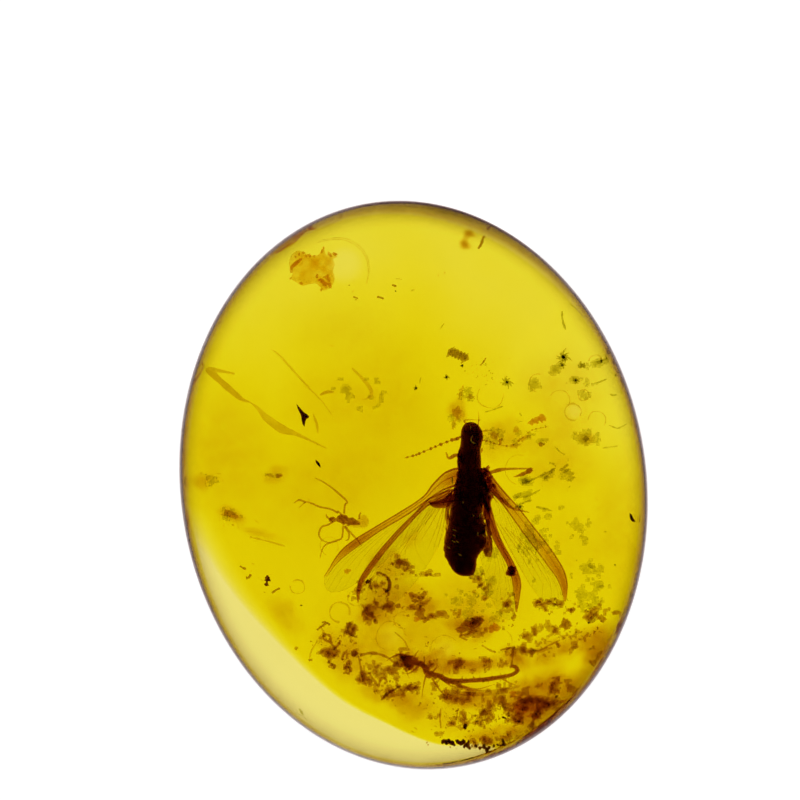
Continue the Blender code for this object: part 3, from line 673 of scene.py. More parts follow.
def make_rim_shade():
    """Film of painted shade over the upper rounding; it darkens the rim."""
    bm = bmesh.new()
    section = [("low", 0.03)] + [("top", i / 16) for i in range(16)] \
        + [("top", 1.0 + i / 36) for i in range(6)]
    shells = []
    for inset in (0.0, FILM * 0.4):
        rows = []
        for side, t in section:
            row = []
            for k in range(STONE_STEPS):
                theta = math.tau * k / STONE_STEPS
                r, z = stone_point(side, theta, t)
                lean = math.pi / 2 * min(t, 1.0) * (1 if side == "top" else -1)
                row.append(bm.verts.new(((r - inset * math.cos(lean)) * math.cos(theta),
                                         (r - inset * math.cos(lean)) * math.sin(theta),
                                         z - inset * math.sin(lean))))
            rows.append(row)
        skin(bm, rows, caps=False)
        shells.append(rows)
    for end in (0, -1):
        skin(bm, [shells[0][end], shells[1][end]], caps=False)
    return piece("painted_rim_shade", bm, RIM_SHADE)


# ---------------------------------------------------------------------- termite
# The trunk's two edges from head to tail: v, left u, right u.
TRUNK = ((421.8, 469.6, 471.8), (422.5, 467, 474.4), (424, 464.5, 477), (427, 462.5, 479.5),
         (431, 461.3, 481.6), (437, 461, 482.6), (443, 460.8, 481.6), (447, 460, 480.6), (450.5, 458.8, 480),
         (455, 457.8, 480.4), (462, 457.6, 481), (468, 458.6, 481), (474, 458, 482.5), (480, 456.5, 485.5),
         (487, 454.5, 487), (495, 453.5, 487), (503, 452, 484), (510, 450.7, 481.8), (518, 449.6, 483),
         (525.4, 448.9, 485), (533, 447, 485.5), (540.7, 445, 485.5), (548.4, 444.2, 483), (556, 445.3, 477.8),
         (562, 448.2, 476.3), (567, 450.8, 476.1), (570.5, 453.2, 475.2), (573, 455.8, 474.2),
         (575, 459.2, 472.6), (576.2, 463, 470))
DEEPEST = 0.43 * MM             # half height of the trunk
SEGMENT = 7.6                   # length of a body segment in view units
TRUNK_SIDES = 36


def make_trunk():
    bm = bmesh.new()
    rings = []
    for v, left, right in smooth_path(TRUNK, 150):
        wide = (right - left) / 2
        deep = min(DEEPEST, 0.034 * MM * wide)
        lap = ((v - 505) / SEGMENT) % 1.0 if v > 505 else 0.5
        ring = []
        for k in range(TRUNK_SIDES):
            a = math.tau * k / TRUNK_SIDES
            ridge = 1.0 + 0.03 * noise.noise(Vector((math.cos(a) * 2, math.sin(a) * 2, v * 0.22)))
            ridge *= 1.0 + (0.035 * (lap - 0.5) if v < 570 else 0.0)
            ring.append(bm.verts.new(at((left + right) / 2, v) + offset(
                math.cos(a) * wide * ridge / SHRINK, 0.0, math.sin(a) * deep * ridge)))
        rings.append(ring)
    skin(bm, rings)
    return piece("termite_trunk", bm, CUTICLE, ("termite",))


ANTENNA_LEFT = ((461, 436.5, 0.1), (456.5, 438.8, 0.1), (451.2, 440.1, 0.1), (440.5, 444.4, 0.1),
                (430.5, 448.7, 0.05), (420.1, 453.3, 0), (414.4, 455.4, 0), (404.5, 457.9, 0))
ANTENNA_RIGHT = ((481, 440, 0.1), (488, 441.5, 0.1), (496, 444, 0.1), (510, 446, 0.1),
                 (521, 439, 0.05), (530, 431, 0), (538, 428.5, 0), (548, 426.6, 0))


def add_beads(bm, line, beads, first, last, rng):
    """Antenna: a string of small beads on a thin thread, sizes in mm."""
    path = smooth_path(route(line), beads * 6)
    add_tube(bm, path, (first * 0.30, last * 0.35), sides=5)
    for i in range(beads):
        share = (i + 0.5) / beads
        spot = path[int(share * (len(path) - 1))]
        size = (first + (last - first) * share) * (0.93, 1.07)[i % 2]
        heading = math.atan2(path[-1].y - path[0].y, path[-1].x - path[0].x)
        add_lump(bm, spot, size, rng, 0.9, 2.1 if i == 0 else 1.05, heading, 2, 0.08)


LEGS = {
    "fore_right": ((480, 476, -0.2), (487, 473.5, -0.25), (494, 471.5, -0.3), (503, 469.4, -0.3),
                   (517.8, 468.9, -0.3), (533, 468.6, -0.3)),
    "fore_right_back": ((532, 469.2, -0.3), (525.4, 473, -0.3), (519, 475.5, -0.3), (513.5, 477, -0.3)),
    "fore_left": ((464, 462, -0.2), (457, 455, -0.3), (449, 458, -0.35), (446, 452, -0.35)),
    "mid_right": ((483, 484, -0.2), (490, 490, -0.3), (497, 496, -0.3), (504, 501.5, -0.32),
                  (512, 508, -0.32), (521, 510.5, -0.3), (529, 512.5, -0.3)),
    "hind_right": ((484, 500, -0.2), (489, 512, -0.32), (487, 525, -0.35), (491, 540, -0.36),
                   (492, 553, -0.38)),
    "hind_left": ((452, 500, -0.2), (447, 512, -0.35), (448, 527, -0.4), (444, 540, -0.4)),
    "palp_left": ((467, 424, 0), (464, 420.5, 0), (471, 419.6, 0), (481, 420, 0)),
    "palp_right": ((477, 428, 0), (478.5, 420, 0), (478, 412, 0)),
    "twig_right": ((479, 431.5, 0), (485, 430.8, 0), (492, 430.2, 0)),
}


# Shreds of body beside the trunk: u, v, radius in mm, stretch, lean in degrees.
FLESH = ((485, 472, 0.17, 1.5, 60), (489, 480, 0.14, 1.5, 70), (488, 489, 0.16, 1.7, 80),
         (488.5, 499, 0.17, 1.6, 85), (487, 507, 0.16, 1.4, 85), (485, 515, 0.13, 1.5, 75),
         (488, 524, 0.12, 1.6, 95), (489.5, 533, 0.14, 1.5, 95), (488.5, 542, 0.20, 1.4, 80),
         (487, 550, 0.19, 1.2, 60), (490.5, 554, 0.09, 1.8, 70), (484, 544, 0.20, 1.0, 0),
         (483, 530, 0.14, 1.3, 70), (459, 453, 0.09, 1.8, 80), (458.6, 464, 0.10, 2.0, 95),
         (459, 473, 0.12, 1.4, 70), (481.6, 450, 0.06, 1.8, 80), (448.6, 516, 0.09, 2.2, 95),
         (446.5, 530, 0.07, 2.4, 100))


def make_limbs():
    bm = bmesh.new()
    rng = random.Random(8)
    add_beads(bm, ANTENNA_LEFT, 13, 0.088, 0.058, rng)
    add_beads(bm, ANTENNA_RIGHT, 14, 0.052, 0.034, rng)
    obj = piece("termite_antennae", bm, SEPIA)
    bm = bmesh.new()
    for name, line in LEGS.items():
        first = 0.125 if name.startswith(("fore", "mid", "hind")) else 0.045
        path = smooth_path(route(line), 26)
        add_tube(bm, path, (first * 0.7, first, first * 0.62, first * 0.75, first * 0.45,
                            first * 0.35, first * 0.18), sides=10, flatten=0.8)
    piece("termite_legs", bm, SEPIA)
    bm = bmesh.new()
    for u, v, r, stretch, lean in FLESH:
        add_lump(bm, at(u, v, LEVEL - 0.05 * MM), r, rng, 0.8, stretch, math.radians(lean) + LAYOUT_TURN, 3, 0.4)
    fuse(piece("termite_flesh", bm, SEPIA), 0.02)
    return obj


# Each wing: height over the level and thickness of the vein field along it (mm), the stiff
# leading edge, the inner line of the field, and the soft trailing margin back to the hinge.
WINGS = {
    "forewing_left": (0.24, (0.36, 0.24, 0.09, 0.06, 0.08, 0.12, 0.28, 0.10, 0.01), (
        (462, 470), (456.7, 468.6), (449, 471), (442.4, 475), (432.2, 485.5), (425.1, 495),
        (414.9, 503), (401.6, 511.4), (386.3, 520.6), (371, 529.8), (355.7, 539), (343.5, 548.4),
        (335.3, 558), (329.2, 568.2), (324, 576.3)), (
        (463, 483), (457, 484.5), (450, 487), (443, 490), (436, 494), (428.2, 499.5),
        (419, 506), (411.8, 511.4), (396.5, 521), (381.2, 530), (365.9, 540.4), (353.7, 549),
        (342.5, 557.5), (334, 566), (327, 576)), (
        (324, 577), (326, 588), (335, 592), (354, 585), (384, 562), (414, 534), (439, 508), (456, 488))),
    "hindwing_left": (-0.06, (0.34, 0.26, 0.16, 0.17, 0.20, 0.26, 0.34, 0.34, 0.12), (
        (462, 489), (452, 490), (442, 493), (434, 497), (428, 499.5), (417, 511), (406.7, 521.2),
        (397.6, 530.4), (389.4, 539.6), (381.2, 548.8), (371, 562), (363.9, 572.2), (358.8, 581.4),
        (357.2, 591.6), (357.8, 602.9)), (
        (462, 500), (453, 501), (444, 502), (436, 503.2), (428.3, 505), (418.5, 513.6), (409.7, 523.2),
        (402, 531.7), (394.3, 540.5), (386, 550.2), (376.3, 562.9), (369.3, 573.1), (363, 582.5),
        (360.2, 592), (358.2, 603)), (
        (358, 604), (364, 612), (378, 614), (399, 600), (422, 573), (440, 542), (449, 516), (460, 500))),
    "forewing_right": (0.24, (0.70, 0.46, 0.24, 0.12, 0.08, 0.11, 0.20, 0.26, 0.12), (
        (478, 470), (483, 469), (488, 471), (496.3, 482.7), (507, 495.4), (514, 503), (520.8, 511),
        (533, 527), (545.3, 542.4), (556, 557.7), (563.7, 571.4), (566.8, 583.7), (566.4, 594),
        (565.5, 601)), (
        (478, 484), (484, 486), (490, 490), (497, 497.5), (503.5, 505), (510, 513.8), (517, 523.5),
        (526.5, 537), (538, 552), (548, 566), (556, 577), (560.8, 587.5), (562.6, 595),
        (563.9, 601.5)), (
        (564, 603), (560, 608), (548, 607), (533, 589), (516, 561), (499, 528), (485, 500), (478, 486))),
    "hindwing_right": (-0.06, (0.70, 0.50, 0.42, 0.42, 0.44, 0.40, 0.28, 0.20, 0.14), (
        (480, 490), (487.5, 491), (489, 498), (490.4, 506), (493, 516), (496.3, 527), (500, 537),
        (504, 545.4), (513.2, 562.2), (519, 576), (520.4, 584), (520, 591.3), (518.4, 603),
        (516.6, 612)), (
        (478, 500), (480.5, 504), (483, 510), (485.2, 517), (488.5, 526), (492.5, 536), (497, 545.5),
        (501.6, 553), (508.6, 566.8), (512, 578), (513.4, 586), (514.2, 594), (515.2, 604),
        (515.8, 612)), (
        (515, 613), (512, 619), (501, 616), (490, 594), (482, 564), (476, 532), (474, 506))),
}
WING_STEPS = 60


def make_wings():
    field, veins, fine, film = bmesh.new(), bmesh.new(), bmesh.new(), bmesh.new()
    for height, thickness, lead, inner, trail in WINGS.values():
        lift = height * MM
        lead_path = smooth_path(route(lead, lift), WING_STEPS)
        inner_path = smooth_path(route(inner, lift - 0.02 * MM), WING_STEPS)
        add_band(field, lead_path, inner_path, thickness)
        add_tube(veins, [p + Vector((0, 0, 0.05 * MM)) for p in lead_path],
                 (0.060, 0.045, 0.034, 0.032, 0.036, 0.016), sides=8)
        add_tube(veins, [p + Vector((0, 0, 0.05 * MM)) for p in inner_path],
                 (0.056, 0.042, 0.034, 0.030, 0.026, 0.012), sides=8)
        middle = [a.lerp(b, 0.45) for a, b in zip(lead_path, inner_path)]
        add_tube(veins, middle[:48], (0.030, 0.020, 0.016, 0.010), sides=6)
        trail_path = smooth_path(route(trail, lift - 0.05 * MM), WING_STEPS)[::-1]
        add_band(film, inner_path, trail_path, (0.03, 0.03), across=18, wave=0.012)
        add_tube(fine, trail_path, (0.012, 0.010, 0.010), sides=5)
        for i in range(9):
            start, stop = 8 + 4 * i, 14 + 5 * i
            a, b = inner_path[start], trail_path[min(stop, WING_STEPS - 1)]
            bow = inner_path[min(start + 9, WING_STEPS)].lerp(trail_path[min(stop + 2, WING_STEPS)], 0.38)
            add_tube(fine, smooth_path((a, bow, b), 14), (0.013, 0.011, 0.007), sides=5)
    piece("wing_vein_fields", field, BAND)
    piece("wing_veins", veins, VEIN)
    piece("wing_fine_veins", fine, FAINT_VEIN)
    piece("wing_membranes", film, MEMBRANE)


# Fan of fine folds under the left hindwing's base lobe, and streaks on the right.
FAN_LEFT = (((446, 508), (443, 528), (437, 552)), ((443, 508), (437, 526), (428, 548)),
            ((440, 508), (431, 524), (419, 543)), ((437, 507), (425, 524), (410, 545)),
            ((434, 507), (420, 527), (402, 556)), ((448, 508), (447, 524), (444, 546)),
            ((431, 508), (414, 532), (394, 564)), ((444, 507), (440, 527), (433, 550)))
FAN_RIGHT = (((492, 520), (506, 552), (522, 585)), ((496, 522), (512, 552), (529, 583)),
             ((500, 524), (519, 552), (537, 584)), ((505, 527), (526, 556), (545, 588)),
             ((511, 531), (534, 560), (551, 588)), ((489, 518), (500, 552), (514, 588)),
             ((498, 532), (507, 562), (516, 590)), ((517, 536), (540, 562), (556, 586)))


def make_folds():
    bm = bmesh.new()
    for i, line in enumerate(FAN_LEFT + FAN_RIGHT):
        path = smooth_path(route(line, (0.02 + 0.015 * (i % 3)) * MM), 20)
        add_tube(bm, path, (0.026, 0.022, 0.008), sides=6, flatten=0.5)
    piece("wing_folds", bm, FAINT_VEIN)
    bm = bmesh.new()
    rng = random.Random(12)
    lobe = ((451, 492), (452, 499), (448, 506), (441, 507.5), (433, 506.5), (429, 503))
    ridge = ((455, 488), (451, 492), (446, 496), (440, 499), (433, 501), (428, 501.5))
    add_band(bm, smooth_path(route(lobe, 0.02 * MM), 24), smooth_path(route(ridge, 0.05 * MM), 24), (0.16, 0.16))
    add_tube(bm, smooth_path(route(lobe, 0.05 * MM), 24), (0.05, 0.045, 0.03))
    for line in (((457, 484), (446, 491), (434, 500)), ((456, 489), (447, 497), (443, 506)),
                 ((455, 493), (450, 500), (448, 506)), ((450, 492), (440, 498), (432, 504)),
                 ((484, 478), (492, 488), (500, 499)), ((486, 490), (487, 504), (489, 516)),
                 ((484, 472), (490, 480), (497, 489)), ((483, 492), (485, 512), (488, 528)),
                 ((480, 468), (486, 471), (490, 478)), ((482, 475), (487, 489), (489, 504)),
                 ((487, 478), (494, 490), (503, 502)), ((491, 484), (500, 496), (509, 509)),
                 ((482, 482), (491, 494), (498, 503)), ((484, 500), (491, 519), (497, 534))):
        add_tube(bm, smooth_path(route(line, 0.15 * MM), 14), (0.045, 0.035, 0.018), flatten=0.7)
    for u, v, r in ((511.7, 570.7, 0.20), (509, 573, 0.14), (494, 486, 0.10), (491, 497, 0.12)):
        add_lump(bm, at(u, v), r, rng, 0.6, 1.2, rng.uniform(0, 3), 2)
    fuse(piece("wing_roots", bm, VEIN), 0.016)


# Painted highlights on the termite: the paths of the pale glint slivers.
GLINTS = (((472.4, 435.2), (471.0, 439.8), (472.7, 442.4), (475.9, 443.6)),
          ((452.4, 529.2), (456.4, 531.2)), ((451.6, 540.2), (455.4, 542.6)),
          ((456.2, 540.8), (458.8, 542.6)), ((447.2, 546.4), (450.2, 548.4)),
          ((452.6, 534.6), (456.0, 536.6)), ((452.2, 475.6), (452.6, 484.6)),
          ((470.1, 425.8), (470.7, 428.6)), ((480.6, 513.0), (479.8, 518.0)),
          ((462.5, 501.5), (463.4, 503.5)), ((482.4, 534.5), (485.0, 536.6)), ((473.4, 514.6), (473.6, 516.6)),
          ((458.5, 553.5), (462.0, 556.0)), ((477.6, 532), (478.0, 536)))
GLINT_LIFT = 0.56 * MM


def make_glints():
    """Painted highlights: hair-thin pale slivers that stand in for the glints of the shiny cuticle."""
    bm = bmesh.new()
    for line in GLINTS:
        path = smooth_path(route(line, GLINT_LIFT), 12)
        add_tube(bm, path, (0.008, 0.026, 0.026, 0.006), sides=6, flatten=0.4)
    piece("cuticle_glints", bm, SHEEN)


# ------------------------------------------------------------------------- gnat
GNAT_TRUNK = ((329.5, 520.0, 0.02), (331.0, 519.6, 0.12), (333.5, 519.8, 0.13), (336.0, 520.0, 0.07),
              (338.5, 519.4, 0.15), (341.5, 519.0, 0.21), (345.0, 519.6, 0.20), (347.5, 520.6, 0.13),
              (351.0, 521.4, 0.16), (355.0, 522.4, 0.14), (358.5, 523.4, 0.08), (360.5, 524.0, 0.02))
GNAT_LIMBS = (((344, 514), (345, 505), (347, 501.5), (340, 494.5), (331, 487), (322, 481), (315, 478)),
              ((338, 513), (330, 509), (320, 507), (313, 504), (306, 502), (299, 508)),
              ((333, 522), (328, 525), (322, 527), (319.6, 531), (319, 536), (323, 541), (331, 543)),
              ((343, 526), (342.6, 533), (341, 538.6), (334, 541.5), (326, 544.4), (322, 550), (320, 558)),
              ((345, 526), (349, 531), (354.6, 537), (358, 540.5), (362, 546)),
              ((344, 526), (348.6, 533), (348.4, 539), (345, 541)),
              ((359, 519), (359.6, 515), (361, 512)), ((337, 511), (341, 514), (342, 517)),
              ((306, 502), (299, 500), (294, 503)), ((331, 520), (327, 517), (326, 514)))
GNAT_WINGS = ((363.2, 521.7, 0.27, 1.05, 75), (354.0, 525.2, 0.15, 2.0, -8))


def make_gnat():
    bm = bmesh.new()
    path = smooth_path([at(u, v) for u, v, _ in GNAT_TRUNK], 44)
    add_tube(bm, path, [r for _, _, r in GNAT_TRUNK], sides=16, flatten=0.85)
    rng = random.Random(21)
    for u, v, r in ((331.5, 519.5, 0.12), (340.5, 517.4, 0.12), (343.5, 521.5, 0.13),
                    (348.0, 523.6, 0.10), (352.0, 519.4, 0.09)):
        add_lump(bm, at(u, v, LEVEL + 0.05 * MM), r, rng, 0.8, 1.2, rng.uniform(0, 3), 2)
    fuse(piece("gnat_trunk", bm, GNAT, ("gnat",)), 0.012)
    bm = bmesh.new()
    for line in GNAT_LIMBS:
        add_tube(bm, smooth_path(route(line), 30), (0.048, 0.044, 0.042, 0.046, 0.036, 0.030, 0.016), sides=6)
    piece("gnat_limbs", bm, GNAT)
    bm = bmesh.new()
    for u, v, r, stretch, lean in GNAT_WINGS:
        add_lump(bm, at(u, v, LEVEL + 0.1 * MM), r, rng, 0.22, stretch,
                 math.radians(lean) + LAYOUT_TURN, 3, 0.08)
    piece("gnat_wings", bm, GNAT_WING)


# ----------------------------------------------------------------- bark and char
def add_flake(bm, outline, thickness, rng, rings=10, rough=0.5, lift=0.0):
    """Ragged flat flake from a plan outline: thin rim, lumpy middle (thickness in mm)."""
    rim = smooth_path(route(outline + outline[:1], lift), 6 * len(outline))[:-1]
    centre = sum(rim, Vector()) / len(rim)
    seed = Vector((rng.uniform(0, 90), rng.uniform(0, 90), 0.0))
    sides = {1: [], -1: []}
    for i in range(rings):
        share = i / rings
        for up in (1, -1):
            ring = []
            for p in rim:
                q = p.lerp(centre, share)
                half = thickness / 2 * MM * (0.25 + 0.75 * math.sqrt(share))
                half *= 1.0 + rough * 2 * noise.noise(q / (0.28 * MM) + seed * (up + 2))
                ring.append(bm.verts.new(q + Vector((0, 0, up * max(half, 0.006 * MM)))))
            sides[up].append(ring)
    skin(bm, sides[1], caps=False)
    skin(bm, sides[-1], caps=False)
    skin(bm, [sides[1][0], sides[-1][0]], caps=False)
    for up in (1, -1):
        tip = bm.verts.new(centre + Vector((0, 0, up * thickness / 2 * MM)))
        last = sides[up][-1]
        for k in range(len(last)):
            bm.faces.new((last[k], last[(k + 1) % len(last)], tip))


BARK_OUTLINE = ((289, 266), (289.5, 260), (293, 254), (299, 251), (304, 253), (309, 254.5),
                (315, 255.5), (319, 254), (321.5, 249), (324, 247.5), (325, 252), (327, 255),
                (332, 253), (336, 253.5), (336.5, 257), (333, 259), (334.5, 264), (333, 271),
                (334.5, 277), (333, 284), (329, 288.5), (323, 290.5), (320, 287), (316, 283.5),
                (309, 284), (302, 285.5), (296, 282), (291, 278), (293, 272))
BARK_RIM = ((291.7, 273), (291.2, 269.6), (292, 266.6), (295.1, 264), (298.5, 261), (302, 258))
BARK_RUST = ((317, 276, 0.08), (318.5, 280, 0.06), (322, 281, 0.10), (327, 277, 0.09), (325, 284, 0.11),
             (321.4, 289.6, 0.07), (330, 285.4, 0.10), (329, 280, 0.08), (324.5, 277, 0.06), (326, 287.6, 0.06),
             (295.5, 257, 0.05), (299, 254.4, 0.06), (303.4, 253, 0.07), (322, 251, 0.07), (323.6, 247.6, 0.05),
             (329, 254, 0.08), (335, 254, 0.09), (331, 256, 0.05), (309, 255.5, 0.07), (314, 256, 0.05),
             (301, 283, 0.07), (290.6, 278.4, 0.05), (300, 259.5, 0.08), (306, 256, 0.06))
CHIP_ARROW = ((296.5, 403.7), (300.3, 408), (304, 412), (307.6, 414.4), (309.2, 417.2), (306.4, 419.4),
              (305.2, 423), (304.6, 426.4), (302.8, 424.3), (301.6, 419), (301, 415.2), (298, 409))
CHIP_SPECK = ((315.4, 459.6), (317.8, 461.2), (320, 464), (320.6, 467.8), (318.2, 465.6), (316, 462.8))
CHIP_EDGE = ((629.6, 513), (631.4, 514.6), (632.6, 518), (634.4, 521.4), (631.8, 521.6), (630, 518))


def make_flakes():
    rng = random.Random(31)
    bm = bmesh.new()
    add_flake(bm, BARK_OUTLINE, 0.42, rng, rough=0.8)
    piece("bark_plate", bm, BARK, ("bark_flake",))
    bm = bmesh.new()
    add_tube(bm, smooth_path(route(BARK_RIM, 0.05 * MM), 24), (0.05, 0.07, 0.08, 0.10, 0.08, 0.03))
    for u, v, r in BARK_RUST:
        add_lump(bm, at(u, v, LEVEL + 0.08 * MM), r, rng, 0.7, 1.3, rng.uniform(0, 3), 2, 0.4)
    fuse(piece("bark_rust", bm, BARK_RED), 0.018)
    for name, outline, node in (("chip_arrow", CHIP_ARROW, "char_chip_arrow"),
                                ("chip_speck", CHIP_SPECK, "char_chip_speck"),
                                ("chip_edge", CHIP_EDGE, "char_chip_edge")):
        bm = bmesh.new()
        add_flake(bm, outline, 0.20, rng, rings=6, rough=0.35)
        piece(name, bm, CHAR, (node,))


CHAR_RUNS = {
    "char_grains_left": ("char_row_left", (
        (443, 741.6, 0.09), (446, 742.4, 0.11), (449, 741.6, 0.10), (452, 743, 0.11), (454, 745, 0.07),
        (457.6, 741.6, 0.10), (460.5, 743.4, 0.10), (463.4, 742, 0.11), (464.6, 746.2, 0.08),
        (467.6, 745, 0.10), (469.4, 747.6, 0.07), (468.6, 741.6, 0.06))),
    "char_grains_right": ("char_row_right", (
        (476, 745.6, 0.07), (480, 747.4, 0.07), (484, 746.2, 0.08), (486.6, 748.6, 0.09), (488.6, 746.8, 0.08),
        (493.6, 745, 0.06), (497.4, 744, 0.05), (500.6, 745.4, 0.08), (503, 743.8, 0.09), (505, 745.4, 0.08),
        (517.6, 744, 0.06), (520.4, 745, 0.05))),
}


def make_char_runs():
    rng = random.Random(41)
    for name, (node, grains) in CHAR_RUNS.items():
        bm = bmesh.new()
        for u, v, r in grains:
            add_lump(bm, at(u, v, LEVEL + rng.uniform(-0.1, 0.1) * MM), r, rng, 0.8, 1.2,
                     rng.uniform(0, 3), 2, 0.35)
        fuse(piece(name, bm, CHAR, (node,)), 0.02)


# ------------------------------------------------------- rootlet, pellet, hairs
ROOTLET = ((399, 654), (405, 656), (409, 661), (416, 663), (421.8, 663.5), (425, 668), (429, 673),
           (438.4, 675.6), (444, 678.6), (451.2, 681), (460, 681), (470, 680.4), (482, 679.6),
           (494, 678), (503, 676.4), (511.7, 674.6), (517, 671), (516, 667), (511, 665.6))
ROOT_SIDE = (((424, 668), (424.6, 662), (425, 656)), ((427, 672), (424, 684), (422, 698)),
             ((403, 656), (406, 668), (409, 678)), ((430, 674), (436, 668), (437, 662)),
             ((441, 678), (452, 686), (470, 687)), ((455, 683), (475, 689), (495, 684)),
             ((432, 678), (440, 690), (448, 698)), ((420, 664), (412, 672), (404, 674)),
             ((399, 654), (392, 657), (386, 661)), ((447, 681), (470, 690), (489, 690)),
             ((500, 677), (508, 682), (518, 686)), ((412, 663), (416, 654), (419, 650)))
PELLET = ((447.5, 351.8), (452, 352.6), (457.5, 354.8), (463, 357), (468.8, 359.6))
PELLET_RINGS = 7
HAIRS = ((563.5, 357, 8.5, 12), (562.5, 365, 4.5, 6), (506.6, 382.4, 6.5, 11), (576, 380, 4.2, 5),
         (462, 366, 2.0, 5), (446.7, 377.5, 2.8, 6), (520, 507, 5, 7), (416, 388, 3, 6))


def make_fine_growths():
    rng = random.Random(51)
    bm = bmesh.new()
    path = smooth_path(route(ROOTLET), 90)
    add_tube(bm, path, (0.07, 0.10, 0.12, 0.10, 0.12, 0.13, 0.10, 0.11, 0.09, 0.10, 0.07), sides=9)
    for line in ROOT_SIDE:
        add_tube(bm, smooth_path(route(line, rng.uniform(-0.2, 0.2) * MM), 16),
                 (0.055, 0.045, 0.030, 0.018), sides=6)
    for i in range(70):
        spot = path[rng.randrange(2, len(path) - 2)]
        turn = rng.uniform(0, math.tau)
        tip = spot + Vector((math.cos(turn), math.sin(turn), rng.uniform(-0.4, 0.4))) \
            * rng.uniform(0.12, 0.30) * MM
        add_tube(bm, [spot, (spot + tip) / 2, tip], (0.030, 0.022, 0.010), sides=5)
    for u, v, r in ((407, 658, 0.20), (411, 665, 0.17), (405, 664, 0.14), (426, 670, 0.18),
                    (430, 674, 0.16), (421, 664, 0.14), (416, 660, 0.13), (435, 676, 0.13)):
        add_lump(bm, at(u, v), r, rng, 0.7, 1.3, rng.uniform(0, 3), 2, 0.5)
    fuse(piece("rootlet_strand", bm, ROOT, ("rootlet",)), 0.022)

    bm = bmesh.new()
    radii = []
    for i in range(PELLET_RINGS * 6 + 1):
        share = i / (PELLET_RINGS * 6)
        girth = 0.22 * math.sqrt(max(0.04, 1 - (2 * share - 1) ** 4))
        radii.append(girth * (0.86 + 0.14 * math.sin(math.tau * PELLET_RINGS * share)))
    add_tube(bm, smooth_path(route(PELLET), len(radii) - 1), radii, sides=16, flatten=0.85)
    for i in range(PELLET_RINGS):
        spot = smooth_path(route(PELLET), PELLET_RINGS + 1)[i + 1]
        add_lump(bm, spot + offset(rng.uniform(-1, 1), rng.uniform(-3, 3), 0.05 * MM), 0.09, rng,
                 0.9, 1.8, math.radians(60) + LAYOUT_TURN, 2, 0.4)
    fuse(piece("ringed_pellet", bm, FRASS, ("pellet",)), 0.014)

    bm = bmesh.new()
    for u, v, reach, arms in HAIRS:
        height = LEVEL + rng.uniform(-0.9, 0.6) * MM
        heart = at(u, v, height)
        add_lump(bm, heart, 0.022 * math.sqrt(reach), rng, 0.8, 1.0, 0.0, 2, 0.4)
        for k in range(arms):
            turn = math.tau * (k + rng.uniform(-0.3, 0.3)) / arms
            out = rng.uniform(0.55, 1.15) * reach
            mid = heart + offset(out * 0.5 * math.cos(turn), out * 0.5 * math.sin(turn),
                                 rng.uniform(-0.08, 0.08) * MM)
            tip = heart + offset(out * math.cos(turn + 0.3), out * math.sin(turn + 0.3),
                                 rng.uniform(-0.15, 0.15) * MM)
            add_tube(bm, smooth_path((heart, mid, tip), 6), (0.050, 0.048, 0.020), sides=5)
    piece("leaf_hairs", bm, LITTER_GREEN)


